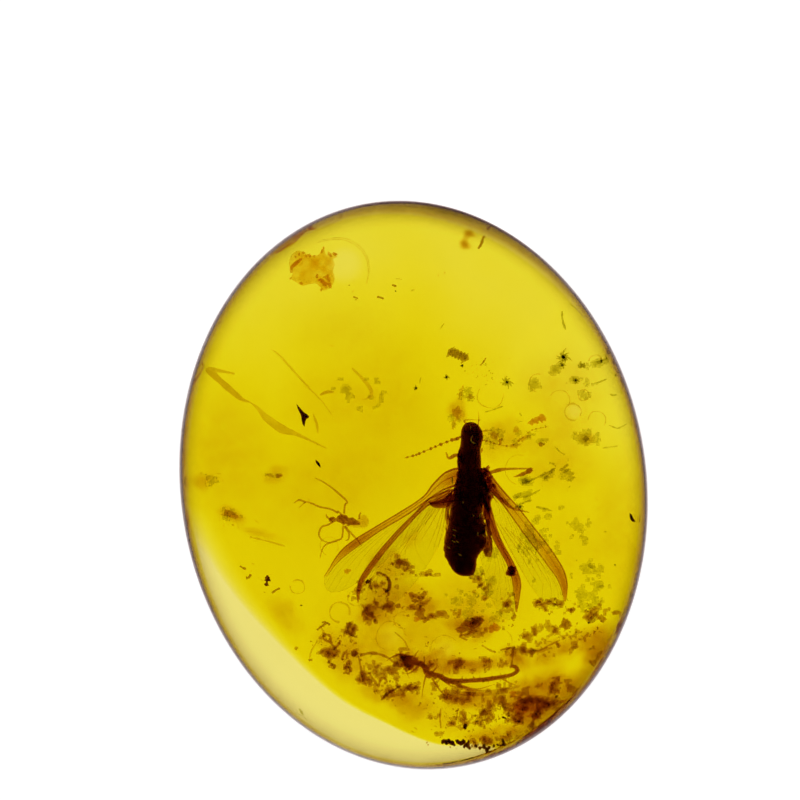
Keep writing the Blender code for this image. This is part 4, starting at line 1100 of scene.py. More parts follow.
# ----------------------------------------------------------------- forest litter
# The larger lumps: the node it stands for, u, v, radius, stretch, lean in degrees, tone.
LUMPS = (
    (1, 470, 625, 7.5, 1.5, 12, "brown"), (0, 478, 620, 5.5, 1.4, 0, "dark"), (0, 463, 629, 5.5, 1.4, 10, "brown"),
    (2, 494, 628, 5.8, 1.4, 8, "red"), (3, 566, 624, 7.0, 1.0, 0, "brown"), (4, 603, 619, 4.4, 1.3, -30, "brown"),
    (5, 558, 645, 3.0, 1.3, -40, "dark"), (6, 465, 726.5, 2.6, 1.5, 90, "char"),
    (7, 484, 713, 4.4, 1.3, 80, "brown"), (0, 488, 721, 4.0, 1.3, 60, "brown"), (0, 504, 707, 3.0, 1.6, -50, "dark"),
    (8, 521, 709, 6.5, 1.5, -10, "red"), (0, 533, 716, 5.0, 1.6, 0, "red"), (0, 527, 701, 5.0, 1.5, 10, "brown"),
    (9, 563, 700, 3.2, 2.6, 24, "red"), (10, 443, 697, 3.4, 2.2, -20, "dark"),
    (11, 420, 612, 5.5, 1.2, 50, "brown"), (0, 424, 618, 4.4, 1.3, -60, "brown"), (0, 417, 619, 3.6, 1.2, 0, "red"),
    (12, 349, 626, 3.6, 1.6, 60, "dark"), (0, 347, 632, 3.2, 1.4, 30, "dark"), (0, 354, 636, 2.2, 2.4, -20, "dark"),
    (13, 328.5, 653.5, 2.4, 1.5, -60, "dark"), (14, 267.6, 579, 3.4, 1.2, 60, "char"), (0, 266.5, 584.6, 2.7, 1.1, 0, "char"),
    (15, 355, 654, 3.0, 1.2, -20, "brown"), (16, 411, 688, 4.4, 1.2, 0, "brown"),
    (17, 392, 691, 3.2, 1.5, 20, "brown"), (0, 386, 695, 2.4, 1.3, 0, "dark"), (0, 398, 686, 2.6, 1.4, 20, "dark"),
    (18, 565, 358, 3.4, 1.6, 80, "olive"), (19, 582, 365.4, 4.4, 1.3, 10, "olive"), (20, 534.5, 420.5, 4.6, 1.6, 20, "red"), (0, 541, 418, 4.6, 1.4, 10, "red"),
    (21, 586, 439, 3.8, 1.3, 0, "olive"), (22, 457.0, 413, 5.4, 1.7, 85, "tan"), (0, 454, 424, 3.6, 1.6, 80, "tan"),
    (23, 461, 392, 3.4, 2.4, 70, "tan"), (0, 470.5, 397, 3.8, 1.3, 20, "tan"), (24, 592, 566.7, 3.2, 1.7, -20, "olive"),
    (25, 230, 515, 6.0, 1.7, -12, "tan"), (26, 279, 476, 3.0, 1.6, 0, "brown"), (0, 270, 475, 2.0, 2.6, -20, "tan"),
    (27, 371, 615, 4.6, 1.9, -40, "brown"), (0, 365, 608, 3.2, 1.5, -50, "brown"), (0, 376, 622, 2.6, 1.4, -30, "dark"),
    (0, 413.6, 595.5, 5.4, 1.3, -20, "brown"), (0, 421, 599, 3.0, 2.2, 50, "dark"), (0, 424, 594, 3.8, 1.3, 40, "brown"),
    (0, 415, 601, 3.0, 1.3, -40, "dark"), (0, 368, 581.5, 3.0, 1.0, 0, "char"),
    (0, 494, 436, 5.0, 1.4, -30, "tan"), (0, 500, 441, 3.0, 1.3, 80, "brown"), (0, 525, 438, 4.4, 2.0, 25, "tan"), (0, 512.5, 446, 2.4, 1.6, 30, "tan"),
    (0, 541, 444, 3.4, 1.1, 0, "brown"), (0, 516, 430, 3.6, 1.1, 60, "tan"), (0, 516, 446, 3.0, 1.8, 30, "tan"),
    (0, 347.9, 570.8, 3.2, 1.3, 20, "red"), (0, 572, 610, 3.4, 1.2, 40, "dark"), (0, 601, 652, 3.0, 1.2, 0, "dark"),
    (0, 401, 563, 3.6, 1.6, -20, "brown"), (0, 405, 569, 2.8, 1.5, -40, "brown"), (0, 428, 574.8, 2.6, 1.8, 5, "dark"),
    (0, 376, 603, 2.8, 1.8, -30, "brown"), (0, 388, 606.5, 3.2, 2.0, 0, "brown"), (0, 398, 606, 2.8, 1.4, 30, "dark"),
    (0, 324, 622, 1.8, 1.8, 20, "dark"), (0, 296, 648.5, 2.2, 1.2, 40, "brown"), (0, 310.5, 660, 2.2, 1.3, 30, "brown"),
    
    (0, 331, 667, 2.2, 1.6, -30, "brown"), (0, 395, 664, 3.2, 1.3, 60, "dark"), (0, 383, 697, 2.6, 1.3, 0, "brown"),
    (0, 601, 361, 3.0, 3.0, 15, "olive"), (0, 571, 479, 2.6, 2.0, 30, "olive"), (0, 526, 481, 4.0, 1.6, -15, "olive"),
    (0, 552, 471, 3.0, 1.6, 50, "olive"), (0, 546, 477.5, 2.8, 1.7, 20, "olive"), (0, 566, 471, 2.8, 1.6, 40, "olive"),
    (0, 517, 496, 3.4, 1.6, 10, "olive"), (0, 601, 587, 2.6, 1.6, 10, "olive"), (0, 615, 612, 3.4, 1.3, 0, "brown"),
    (0, 519, 547, 2.8, 2.4, 80, "olive"), (0, 534, 580, 2.2, 1.6, 60, "olive"), (0, 507, 605, 3.0, 1.6, -60, "brown"),
    (0, 514, 617, 3.4, 1.4, 60, "brown"), (0, 538, 602, 2.4, 1.8, 20, "dark"), (0, 556, 604, 2.4, 2.2, -10, "dark"),
    (0, 480, 586, 2.6, 1.8, 20, "dark"), (0, 482, 573, 2.6, 1.8, 80, "olive"), (0, 511, 573, 4.4, 1.4, 30, "dark"),
    (0, 513, 649, 3.0, 1.8, 0, "brown"), (0, 532, 652, 3.0, 1.3, 0, "brown"), (0, 513, 694, 4.0, 1.3, 50, "red"),
    (0, 498, 685, 3.4, 1.4, -50, "brown"), (0, 507, 721, 3.4, 1.2, 0, "brown"), (0, 532, 724, 3.0, 1.8, 80, "brown"),
    (0, 404, 659, 5.0, 1.5, -60, "dark"), (0, 408, 668, 4.0, 1.3, 60, "dark"),
)
# Clotted grime: u, v, along, across, lean in degrees, how thickly it lies.
GRIME = (
    (330, 652, 15, 21, -15, 0.8), (354, 652, 9, 8, 0, 0.7), (348, 667, 9, 7, 0, 0.7), (372, 676, 22, 16, 30, 0.9),
    (393, 690, 16, 11, -10, 1.0), (411, 688, 9, 8, 0, 0.9), (385, 606, 22, 8, 8, 1.0), (370, 615, 17, 11, 42, 1.0),
    (350, 630, 12, 13, 30, 0.9), (384, 585, 16, 15, 0, 0.7), (402, 565, 17, 9, 30, 1.0), (418, 604, 16, 20, 10, 0.9),
    (474, 625, 30, 13, -6, 1.0), (445, 616, 26, 7, -6, 0.6), (404, 662, 14, 17, -40, 1.0), (388, 672, 16, 12, 20, 0.7),
    (486, 717, 12, 15, 20, 0.9), (515, 700, 26, 20, 20, 0.9), (530, 712, 28, 20, -20, 1.1), (560, 700, 26, 14, -35, 0.55),
    (443, 697, 20, 8, 20, 0.8), (475, 700, 34, 14, 0, 0.6), (450, 722, 44, 22, 6, 0.28), (500, 745, 44, 7, -2, 0.8),
    (525, 735, 30, 14, -20, 0.6), (506, 612, 12, 22, 10, 0.8), (480, 585, 12, 20, 0, 0.6), (520, 650, 24, 8, 0, 0.8),
    (560, 648, 30, 8, -10, 0.7), (570, 640, 26, 16, -20, 0.5), (596, 615, 18, 16, 0, 0.6), (560, 605, 32, 9, 4, 0.6),
    (604, 655, 18, 11, -45, 0.8), (540, 632, 22, 14, 0, 0.5), (428, 574, 16, 6, 5, 0.9),     (360, 590, 14, 18, 0, 0.5), (470, 665, 50, 10, 0, 0.5),
    (440, 690, 40, 12, 8, 0.5), (550, 690, 20, 12, -20, 0.5),
)
GRIME_PALE = (
    (494, 438, 15, 11, 0, 1.0), (518, 431, 9, 7, -30, 0.9), (524, 438, 16, 7, -22, 0.9), (535, 385, 9, 7, -10, 0.7),
    (584, 366, 8, 5, 0, 0.9), (577, 380, 8, 4, 0, 0.9), (590, 382, 9, 6, 0, 0.9), (556, 370, 8, 8, 0, 0.7),
    (602, 361, 12, 5, -15, 0.8), (584, 395, 8, 6, 0, 0.8), (586, 439, 16, 11, 0, 0.9), (541, 443, 8, 6, 0, 0.9),
    (546, 476, 14, 5, -30, 0.9), (526, 481, 8, 5, 10, 1.0), (567, 476, 10, 8, 0, 0.8), (522, 497, 18, 7, -20, 0.9),
    (530, 545, 10, 26, -10, 0.7), (595, 568, 18, 8, 5, 0.8), (560, 530, 40, 30, 0, 0.15), (590, 590, 26, 40, 0, 0.3),
    (456, 414, 8, 14, 10, 0.9), (466, 395, 10, 8, 0, 0.8), (370, 395, 30, 22, 0, 0.15), (345, 385, 18, 8, 0, 0.3),
    (480, 600, 40, 30, 0, 0.35), (230, 514, 14, 7, 10, 0.9), (206, 480, 13, 7, 0, 0.7), (276, 476, 11, 5, 0, 0.8),
    (488, 570, 16, 30, 0, 0.5),
)
# Scattered fines: u, v, reach along and across, lean in degrees, how many,
# largest size, tone.
FIELDS = (
    (340, 650, 30, 18, 30, 46, 1.9, "dark"), (388, 690, 24, 12, 20, 34, 2.0, "dark"), (384, 604, 22, 20, 0, 40, 2.0, "dark"),
    (392, 566, 18, 9, 20, 14, 2.0, "dark"), (418, 606, 14, 16, 0, 16, 2.2, "dark"), (450, 718, 46, 20, 4, 90, 1.6, "dark"),
    (500, 715, 40, 20, 0, 60, 2.0, "dark"), (540, 712, 30, 16, -30, 40, 2.0, "dark"), (500, 743, 40, 4, -2, 46, 2.2, "dark"),
    (540, 640, 40, 18, -5, 40, 1.8, "dark"), (590, 630, 22, 24, -20, 26, 1.9, "dark"), (560, 600, 26, 10, 5, 20, 1.8, "olive"),
    (480, 600, 30, 22, 0, 40, 1.6, "olive"), (520, 430, 36, 20, -20, 12, 1.8, "olive"), (575, 400, 34, 40, -30, 12, 1.1, "olive"),
    (545, 480, 46, 18, -20, 14, 1.3, "olive"), (560, 520, 50, 40, -20, 10, 1.0, "olive"), (590, 570, 24, 44, 0, 16, 1.5, "olive"),
    (485, 372, 24, 18, 0, 22, 1.5, "olive"), (205, 478, 14, 10, 0, 14, 2.0, "tan"), (262, 575, 24, 12, 40, 5, 1.3, "dark"),
    (245, 525, 26, 9, 15, 14, 1.6, "tan"), (378, 420, 44, 26, 10, 10, 1.0, "tan"), (340, 400, 50, 50, 0, 14, 1.0, "tan"),
    (390, 300, 90, 46, 0, 22, 1.2, "olive"), (330, 320, 90, 60, 0, 20, 1.2, "tan"), (300, 500, 60, 40, 0, 18, 1.0, "tan"),
    (440, 665, 50, 24, 0, 40, 1.7, "brown"), (430, 640, 60, 30, 0, 20, 1.4, "tan"), (300, 620, 46, 10, 45, 8, 1.2, "dark"),
)
# Splinters, fibres and crooked threads: tone, half thickness in mm, then the points.
THREADS = (
    ("dark", 0.045, (377, 296.8), (384, 299)), ("dark", 0.05, (392, 285), (396.6, 286.6)),
    ("dark", 0.06, (478, 249), (481.6, 245.6)), ("olive", 0.03, (440.5, 329), (442, 326), (444, 323.4)),
    ("olive", 0.055, (562, 311), (562.6, 320), (565.6, 330)), ("dark", 0.04, (480, 366), (484, 361), (485.6, 358)),
    ("olive", 0.02, (402, 279.5), (396, 279)), ("olive", 0.045, (597, 383), (602, 381), (607, 379)),
    ("olive", 0.04, (610, 394), (616, 395)), ("olive", 0.05, (549, 463), (556, 467)),
    ("olive", 0.05, (536, 507), (545, 509), (552, 511)), ("olive", 0.06, (559, 471), (568, 464)),
    ("olive", 0.05, (515, 508), (523, 503), (532, 500)), ("olive", 0.05, (516, 498), (528, 496), (540, 490)),
    ("olive", 0.05, (522, 484), (534, 479), (545, 474), (556, 468)), ("olive", 0.04, (485, 412), (495, 409), (503, 406)),
    ("olive", 0.04, (555, 447), (560, 452), (565, 455)), ("olive", 0.035, (603, 448), (610, 447), (618, 446)),
    ("olive", 0.035, (609, 425), (618, 428), (626, 424)), ("dark", 0.07, (240, 566), (243, 568), (246, 569)),
    ("dark", 0.07, (246, 578), (249, 577), (251, 574)), ("dark", 0.055, (272, 593), (276, 590), (280, 588)),
    ("olive", 0.05, (300, 708), (304, 714)), ("olive", 0.04, (305, 716), (307, 720)),
    ("dark", 0.06, (317, 630), (322, 626), (327, 623), (330, 625)), ("tan", 0.05, (250, 537), (267, 541), (285, 546)),
    ("olive", 0.03, (420, 383.6), (421.4, 377)), ("brown", 0.05, (353, 297), (358, 299)),
    ("brown", 0.08, (360, 655), (372, 653), (385, 656), (395, 663)), ("brown", 0.05, (359, 656), (361, 668), (363, 680), (367, 686)),
    ("brown", 0.07, (369, 672.5), (375, 681.7), (378, 686), (380.7, 679.4), (384, 678), (386.5, 681), (384, 684)),
    ("brown", 0.07, (326, 641), (323.5, 637), (327, 634.5), (331, 637), (329, 641), (326, 641)), ("brown", 0.08, (330, 641), (334.8, 647), (339.4, 643), (340.6, 640)),
    ("brown", 0.08, (334.8, 647), (336.4, 652), (333.6, 657)), ("dark", 0.08, (328, 661), (331, 664), (335, 666), (333, 669)), ("brown", 0.07, (342, 660), (344, 654), (347, 652), (347, 659)),
    ("brown", 0.07, (351.6, 652), (354, 650.6), (357, 653), (354, 655.6), (352, 654)), ("brown", 0.07, (344, 669), (347, 666.6), (351, 669), (349, 673), (345, 672)),
    ("dark", 0.05, (381, 700), (387, 694), (394, 690), (400, 686)),
    ("tan", 0.05, (318, 640), (311, 652), (309, 662)),
    ("tan", 0.05, (320, 626), (324, 634), (319, 643)), ("brown", 0.05, (467, 640), (460, 636), (470, 634)),
    ("brown", 0.05, (482, 645), (490, 650), (496, 652)), ("brown", 0.06, (513, 648), (512, 660), (510, 668)),
    ("dark", 0.05, (500, 650), (508, 648), (516, 647)), ("brown", 0.05, (530, 648), (538, 651), (548, 646), (560, 640)),
    ("olive", 0.05, (533, 535), (537, 545), (535, 555)), ("dark", 0.075, (376.3, 574), (379.5, 572.6), (386.5, 576.5), (389.7, 582.9), (389, 589.2), (385.3, 593)),
    ("dark", 0.06, (383, 588), (386, 591), (389, 594), (386, 597)), ("brown", 0.06, (372, 590), (370, 584), (371.2, 577.8)), 
    ("brown", 0.04, (395, 632), (404, 640), (409, 650)),
    ("brown", 0.05, (441, 728), (440, 718), (441, 708)), ("dark", 0.04, (456, 720), (457, 714), (458, 708)),
)
LITTER_TONES = {
    "dark": (LITTER_DARK, "litter_dark"), "brown": (LITTER, "litter_brown"),
    "olive": (LITTER_GREEN, "litter_brown"), "char": (CHAR, "char"),
    "red": (BARK_RED, "litter_brown"), "tan": (LITTER_TAN, "litter_brown"),
}


def add_crumb(bm, spot, size, rng):
    """One small grain: a clod of knobs, a crooked fibre or a splinter. Size in view units."""
    reach = size * UNIT * SHRINK / MM
    kind = rng.random()
    if kind < 0.55:
        for _ in range(rng.choice((1, 2, 2, 3))):
            knob = spot + Vector((rng.gauss(0, 0.5), rng.gauss(0, 0.5), rng.gauss(0, 0.25))) * reach * MM
            add_lump(bm, knob, reach * rng.uniform(0.35, 0.75), rng, 0.7, rng.uniform(1.0, 1.7),
                     rng.uniform(0, math.pi), 1, 0.35)
        return
    turn = rng.uniform(0, math.tau)
    curl = rng.uniform(-1.6, 1.6) if kind < 0.85 else 0.2
    path = [spot.copy()]
    for _ in range(4):
        turn += curl * rng.uniform(0.2, 1.0)
        path.append(path[-1] + Vector((math.cos(turn), math.sin(turn), rng.uniform(-0.2, 0.2)))
                    * reach * 0.75 * MM)
    add_tube(bm, smooth_path(path, 7), (reach * 0.16, reach * 0.30, reach * 0.22, reach * 0.30,
                                        reach * 0.10), sides=5)


def grime_depth(patches, seed, loose, slope):
    """Depth in mm of the crumbly clots where the patches lie thick enough."""
    def depth_at(u, v):
        lie = swell(u, v, patches)
        if lie <= 0.02:
            return 0.0
        p = Vector((u, v, seed))
        grain = 0.75 * noise.noise(p / 10.0) + 0.48 * noise.noise(p / 4.2) + 0.26 * noise.noise(p / 1.9)
        return max(0.0, min(0.42, slope * (grain - loose + 0.42 * min(1.0, lie * 1.5))))
    return depth_at


def make_litter():
    rng = random.Random(61)
    soft = {tone: bmesh.new() for tone in LITTER_TONES}
    nodes = {tone: [] for tone in LITTER_TONES}
    for number, u, v, radius, stretch, lean, tone in LUMPS:
        reach = radius * UNIT * SHRINK / MM
        spot = at(u, v)
        heading = math.radians(lean) + LAYOUT_TURN
        add_lump(soft[tone], spot, reach * 0.62, rng, 0.62, stretch, heading, 3, 0.5)
        for _ in range(12):
            swing = rng.uniform(0, math.tau)
            knob = spot + Matrix.Rotation(heading, 3, "Z") @ Vector(
                (math.cos(swing) * stretch, math.sin(swing), rng.uniform(-0.3, 0.3))) \
                * reach * rng.uniform(0.35, 0.82) * MM
            add_lump(soft[tone], knob, reach * rng.uniform(0.14, 0.36), rng, 0.8,
                     rng.uniform(1, 1.7), rng.uniform(0, 3), 2, 0.4)
        if number:
            nodes[tone].append("crumb_%02d" % number)
    for tone, (mat, slot) in LITTER_TONES.items():
        fuse(piece("litter_lumps_" + tone, soft[tone], mat, nodes[tone]), 0.022)

    fines = {tone: bmesh.new() for tone in LITTER_TONES}
    for u, v, along, across, lean, count, largest, tone in FIELDS:
        lean = math.radians(lean)
        for _ in range(count):
            a, b = rng.gauss(0, 0.5) * along, rng.gauss(0, 0.5) * across
            du = a * math.cos(lean) - b * math.sin(lean)
            dv = a * math.sin(lean) + b * math.cos(lean)
            size = largest * rng.uniform(0.35, 1.0) ** 1.4
            spot = at(u + du, v + dv, LEVEL + rng.gauss(-0.1, 0.35) * MM)
            if share_out(spot.x, spot.y) < 0.93:
                add_crumb(fines[tone], spot, size, rng)
    for tone, half, *points in THREADS:
        height = rng.uniform(-0.5, 0.4) * MM
        if len(points) == 2:
            points.insert(1, ((points[0][0] + points[1][0]) / 2 + rng.uniform(-1, 1),
                              (points[0][1] + points[1][1]) / 2 + rng.uniform(-1, 1)))
        radii = [half * rng.uniform(0.5, 1.15) for _ in range(3 * len(points))] + [half * 0.3]
        add_tube(fines[tone], smooth_path(route(points, height), 7 * len(points)), radii, sides=6)
    for tone, (mat, slot) in LITTER_TONES.items():
        if fines[tone].verts:
            piece("litter_fines_" + tone, fines[tone], mat)
        else:
            fines[tone].free()

    for name, patches, step, seed, loose, slope, mat in (
            ("litter_grime_brown", GRIME, 1.3, 3.0, 0.38, 0.62, LITTER),
            ("litter_grime_olive", GRIME_PALE, 1.6, 23.0, 0.34, 0.16, LITTER_GREEN)):
        bm = bmesh.new()
        us, vs = [p[0] for p in patches], [p[1] for p in patches]
        add_field(bm, (min(us) - 40, min(vs) - 30, max(us) + 30, max(vs) + 24), step,
                  grime_depth(patches, seed, loose, slope), LEVEL - 0.25 * MM)
        piece(name, bm, mat)


# ------------------------------------------------------ seams, bubbles and stains
# Seams of the flow: points, half widths in view units along it, then in mm the
# thickness between the edges and the half thickness of the edges.
SEAMS = (
    (((201, 362), (210, 369.5), (216.3, 377.3), (225.2, 385.3), (233.6, 392.6), (241.6, 399), (251, 402.5)),
     (0.4, 1.8, 2.6, 2.3, 2.2, 1.8, 0.3), 0.08, 0.050),
    (((251, 402.5), (258, 408), (265, 416.3), (272, 422), (283, 429.5), (294, 433), (306, 438.4), (327, 448.4)),
     (0.3, 1.0, 3.0, 3.8, 3.6, 1.6, 1.0, 0.3), 0.05, 0.036),
    (((270.5, 348.4), (280, 355.8), (289.5, 366.3), (301, 379), (311.6, 390.5), (322, 401), (332.6, 415.8)),
     (0.3, 0.6, 0.6, 0.5, 0.5, 0.4, 0.3), 0.02, 0.026),
    (((313.2, 413.7), (316.8, 424.2), (317.9, 433.7)), (0.3, 0.5, 0.3), 0.04, 0.040),
    (((320, 395), (327, 392), (334, 392)), (0.4, 0.8, 0.4), 0.10, 0.050),
    (((352, 368), (362, 378), (370, 388), (371, 396), (362, 400)), (0.6, 1.2, 1.4, 1.0, 0.5), 0.03, 0.030),
    (((505, 655), (520, 650), (536, 651), (552, 648)), (1.2, 1.6, 1.4, 0.8), 0.08, 0.050),
    (((446, 690), (470, 694), (496, 692), (520, 686)), (0.6, 1.4, 1.6, 0.8), 0.08, 0.050),
)
# Bubbles and rings: u, v, radius, thickness of the rim in mm, share of the ring drawn.
BUBBLES = (
    (297.6, 586.5, 7.4, 0.035, 0.9), (380, 584.5, 10, 0.075, 0.85), (339.6, 612, 10, 0.060, 0.8),
    (391, 636, 15, 0.030, 0.7), (573, 412, 8.5, 0.040, 0.9), (584, 395, 5.5, 0.035, 0.9),
    (595, 361, 6.0, 0.035, 0.6), (538, 383, 9, 0.035, 0.5), (490, 395, 13, 0.030, 0.6),
    (356, 598, 8, 0.035, 0.7), (372, 612, 8, 0.040, 0.8), (560, 400, 10, 0.025, 0.5),
    (520, 470, 15, 0.022, 0.5), (597, 420, 9, 0.025, 0.6), (329, 546, 9, 0.022, 0.8),
    (402, 620, 8, 0.030, 0.6), (445, 650, 15, 0.022, 0.4), (500, 640, 12, 0.024, 0.5),
)
BARK_BUBBLE = ((317, 243), (325, 241), (334, 239.6), (344, 240), (353, 243.6), (361, 250), (366, 258),
               (368, 267), (367.6, 277), (366, 285))
# Clouds in the resin: u, v, along, across, lean in degrees, depth in mm.
CLOUDS = (
    (560, 706, 60, 30, -38, 0.42), (528, 710, 30, 22, 10, 1.05), (590, 684, 42, 24, -50, 0.50),
    (536, 690, 46, 24, -20, 0.55), (470, 665, 52, 11, -2, 0.60), (440, 656, 26, 12, 0, 0.30),
    (515, 660, 24, 14, 20, 0.45), (474, 698, 40, 14, 4, 0.55), (418, 662, 30, 17, 20, 0.45),
    (360, 678, 44, 24, 38, 0.16), (400, 700, 44, 18, 20, 0.36), (338, 650, 36, 28, 40, 0.24),
    (450, 722, 60, 20, 6, 0.08), (508, 738, 60, 15, -6, 0.45), (385, 598, 34, 34, 0, 0.34),
    (372, 615, 24, 18, 30, 0.30), (392, 566, 30, 18, 20, 0.30), (474, 626, 38, 15, -4, 0.45),
    (420, 604, 22, 26, 0, 0.35), (466, 241, 8, 10, 0, 0.60), (474, 228, 14, 8, 35, 0.40),
    (232, 516, 18, 10, 12, 0.35), (262, 533, 36, 6, 18, 0.15), (282, 612, 32, 16, 42, 0.16),
    (350, 335, 90, 44, 20, 0.04), (385, 400, 62, 66, 0, 0.07), (330, 400, 60, 50, 0, 0.06),
    (300, 500, 80, 60, 0, 0.05), (555, 440, 60, 36, -30, 0.12), (500, 437, 34, 28, 0, 0.22),
    (575, 545, 44, 60, 0, 0.04), (603, 648, 34, 20, -45, 0.50), (575, 645, 50, 18, -10, 0.32),
    (545, 655, 40, 18, 0, 0.25), (560, 385, 60, 46, -20, 0.09), (458, 410, 12, 17, 8, 0.40),
    (205, 480, 20, 12, 0, 0.20), (277, 476, 16, 9, 0, 0.20), (571, 291, 5, 5, 0, 0.30),
    (410, 538, 20, 12, -30, 0.14), (586, 437, 16, 10, 0, 0.20), (560, 472, 50, 26, -10, 0.12),
    (476, 600, 64, 42, 0, 0.14), (440, 690, 90, 50, 8, 0.10), (225, 450, 60, 90, 0, 0.10), (624, 530, 44, 110, 0, 0.09),
    (350, 470, 80, 60, 0, 0.07), (405, 632, 110, 60, 0, 0.17), (370, 650, 34, 26, 20, 0.14),
)


def add_seam(bm, line, widths, thickness, edge_half):
    """Lens-shaped strip with drawn edges: widths in view units, the rest in mm."""
    path = smooth_path(route(line, -0.5 * MM), 48)
    edges = ([], [])
    for i, p in enumerate(path):
        ahead = path[min(i + 1, len(path) - 1)] - path[max(i - 1, 0)]
        side = ahead.cross(Vector((0, 0, 1))).normalized()
        half = blend(widths, i / (len(path) - 1)) * UNIT * SHRINK
        half *= 1.0 + 0.35 * noise.noise(p / (0.5 * MM))
        edges[0].append(p + side * half)
        edges[1].append(p - side * half)
    add_band(bm, edges[0], edges[1], (thickness, thickness), across=8)
    for edge in edges:
        add_tube(bm, edge, (edge_half * 0.6, edge_half, edge_half, edge_half * 0.4), sides=6)


def make_seams():
    bm = bmesh.new()
    for seam in SEAMS:
        add_seam(bm, *seam)
    fuse(piece("flow_seams", bm, SEAM), 0.025)


def make_bubbles():
    rng = random.Random(71)
    bm = bmesh.new()
    for u, v, radius, rim, share in BUBBLES:
        heart = at(u, v, LEVEL + rng.uniform(-0.4, 0.2) * MM)
        begin = rng.uniform(0, math.tau)
        path = []
        for k in range(33):
            turn = begin + math.tau * share * k / 32
            wobble = 1.0 + 0.10 * noise.noise(Vector((math.cos(turn), math.sin(turn), u)))
            path.append(heart + offset(radius * wobble * math.cos(turn), radius * wobble * math.sin(turn)))
        radii = [rim * rng.uniform(0.4, 1.3) for _ in range(12)]
        add_tube(bm, path, radii, sides=6)
    for lift, wander in ((0.0, 0.0), (0.1, 1.6)):
        line = [(u + wander * 0.7, v - wander) for u, v in BARK_BUBBLE]
        add_tube(bm, smooth_path(route(line, lift * MM), 50), (0.010, 0.022, 0.016, 0.024, 0.012), sides=6)
    piece("bubble_rims", bm, BUBBLE)


def make_clouds():
    """Brown haze in the resin: one body whose depth dies away to nothing at its edges."""
    def depth_at(u, v):
        p = Vector((u, v, 0.0))
        drift = noise.noise_vector(p / 26.0) * 7.0 + noise.noise_vector(p / 9.0) * 3.0
        depth = swell(u + drift.x, v + drift.y, CLOUDS)
        if depth <= 0.004:
            return 0.0
        return depth * (1.0 + 0.5 * noise.noise(p / 15.0) + 0.45 * noise.noise(p / 5.5)) - 0.004

    noise.seed_set(1)           # or the drift would differ from run to run
    bm = bmesh.new()
    add_field(bm, (188, 212, 640, 760), 2.6, depth_at, LEVEL - 1.0 * MM)
    piece("resin_clouds", bm, STAIN)


# ------------------------------------------------------------ floor, light, camera
FLOOR_GLOW = 1.02               # the floor under the stone shines like a light table
FLOOR_FAR = 0.22
FLOOR_ALBEDO = 0.5
GLOW_NEAR, GLOW_FAR = 0.040, 0.30
ZENITH, HORIZON = 0.02, 0.3


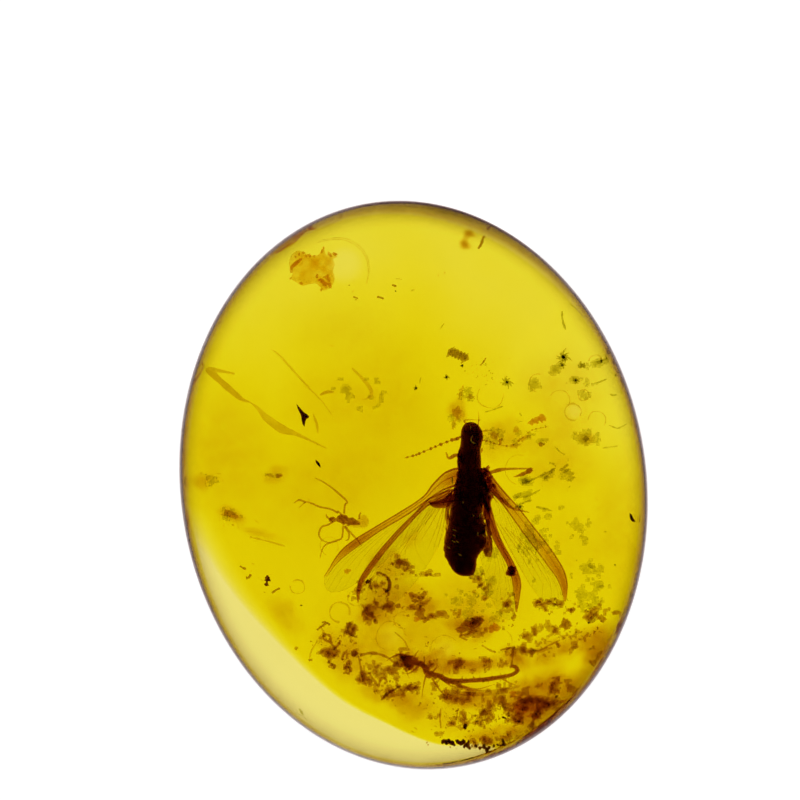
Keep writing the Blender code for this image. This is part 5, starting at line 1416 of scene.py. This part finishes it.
def make_floor():
    bm = bmesh.new()
    bmesh.ops.create_grid(bm, x_segments=1, y_segments=1, size=1.2)
    mesh = bpy.data.meshes.new("floor")
    bm.to_mesh(mesh)
    bm.free()
    floor = bpy.data.objects.new("floor", mesh)
    bpy.context.scene.collection.objects.link(floor)
    floor.location.z = -0.02 * MM
    mat, tree, shader = new_material("pale_floor")
    shader.inputs["Base Color"].default_value = (FLOOR_ALBEDO,) * 3 + (1.0,)
    shader.inputs["Roughness"].default_value = 0.8
    shader.inputs["Specular IOR Level"].default_value = 0.0
    shader.inputs["Emission Color"].default_value = (1.0, 1.0, 1.0, 1.0)
    place = tree.nodes.new("ShaderNodeTexCoord")
    away = tree.nodes.new("ShaderNodeVectorMath")
    away.operation = "LENGTH"
    fade = tree.nodes.new("ShaderNodeMapRange")
    fade.interpolation_type = "SMOOTHSTEP"
    fade.inputs["From Min"].default_value = GLOW_NEAR
    fade.inputs["From Max"].default_value = GLOW_FAR
    fade.inputs["To Min"].default_value = FLOOR_GLOW
    fade.inputs["To Max"].default_value = FLOOR_FAR
    tree.links.new(place.outputs["Object"], away.inputs[0])
    tree.links.new(away.outputs["Value"], fade.inputs["Value"])
    tree.links.new(fade.outputs["Result"], shader.inputs["Emission Strength"])
    mesh.materials.append(mat)


def make_world():
    """Soft studio sky: bright round the horizon, dark straight overhead."""
    world = bpy.data.worlds.new("studio")
    bpy.context.scene.world = world
    world.use_nodes = True
    tree = world.node_tree
    place = tree.nodes.new("ShaderNodeTexCoord")
    split = tree.nodes.new("ShaderNodeSeparateXYZ")
    fade = tree.nodes.new("ShaderNodeMapRange")
    fade.interpolation_type = "SMOOTHSTEP"
    fade.inputs["From Min"].default_value = 0.45
    fade.inputs["From Max"].default_value = 0.93
    fade.inputs["To Min"].default_value = HORIZON
    fade.inputs["To Max"].default_value = ZENITH
    tree.links.new(place.outputs["Generated"], split.inputs["Vector"])
    tree.links.new(split.outputs["Z"], fade.inputs["Value"])
    tree.links.new(fade.outputs["Result"], tree.nodes["Background"].inputs["Strength"])


def make_lights():
    for name, place, size, power in (("key", (-0.30, 0.12, 0.16), 0.30, 0.25),
                                     ("fill", (0.30, -0.16, 0.14), 0.30, 0.15)):
        light = bpy.data.lights.new(name, "AREA")
        light.shape = "DISK"
        light.size = size
        light.energy = power
        lamp = bpy.data.objects.new(name, light)
        bpy.context.scene.collection.objects.link(lamp)
        lamp.location = place
        lamp.rotation_euler = (-lamp.location).to_track_quat("-Z", "Y").to_euler()


def make_camera():
    camera = bpy.data.cameras.new("camera")
    camera.lens = LENS
    camera.sensor_width = SENSOR
    camera.clip_start = 0.001
    stand = bpy.data.objects.new("camera", camera)
    bpy.context.scene.collection.objects.link(stand)
    stand.matrix_world = Matrix.Translation(EYE) @ TURN.to_4x4()
    bpy.context.scene.camera = stand
    bpy.context.scene.view_settings.view_transform = "Standard"


make_camera()
make_floor()
make_world()
make_lights()
make_stone()
make_flow()
make_rim_shade()
make_trunk()
make_limbs()
make_wings()
make_folds()
make_glints()
make_gnat()
make_flakes()
make_char_runs()
make_fine_growths()
make_litter()
make_seams()
make_bubbles()
make_clouds()
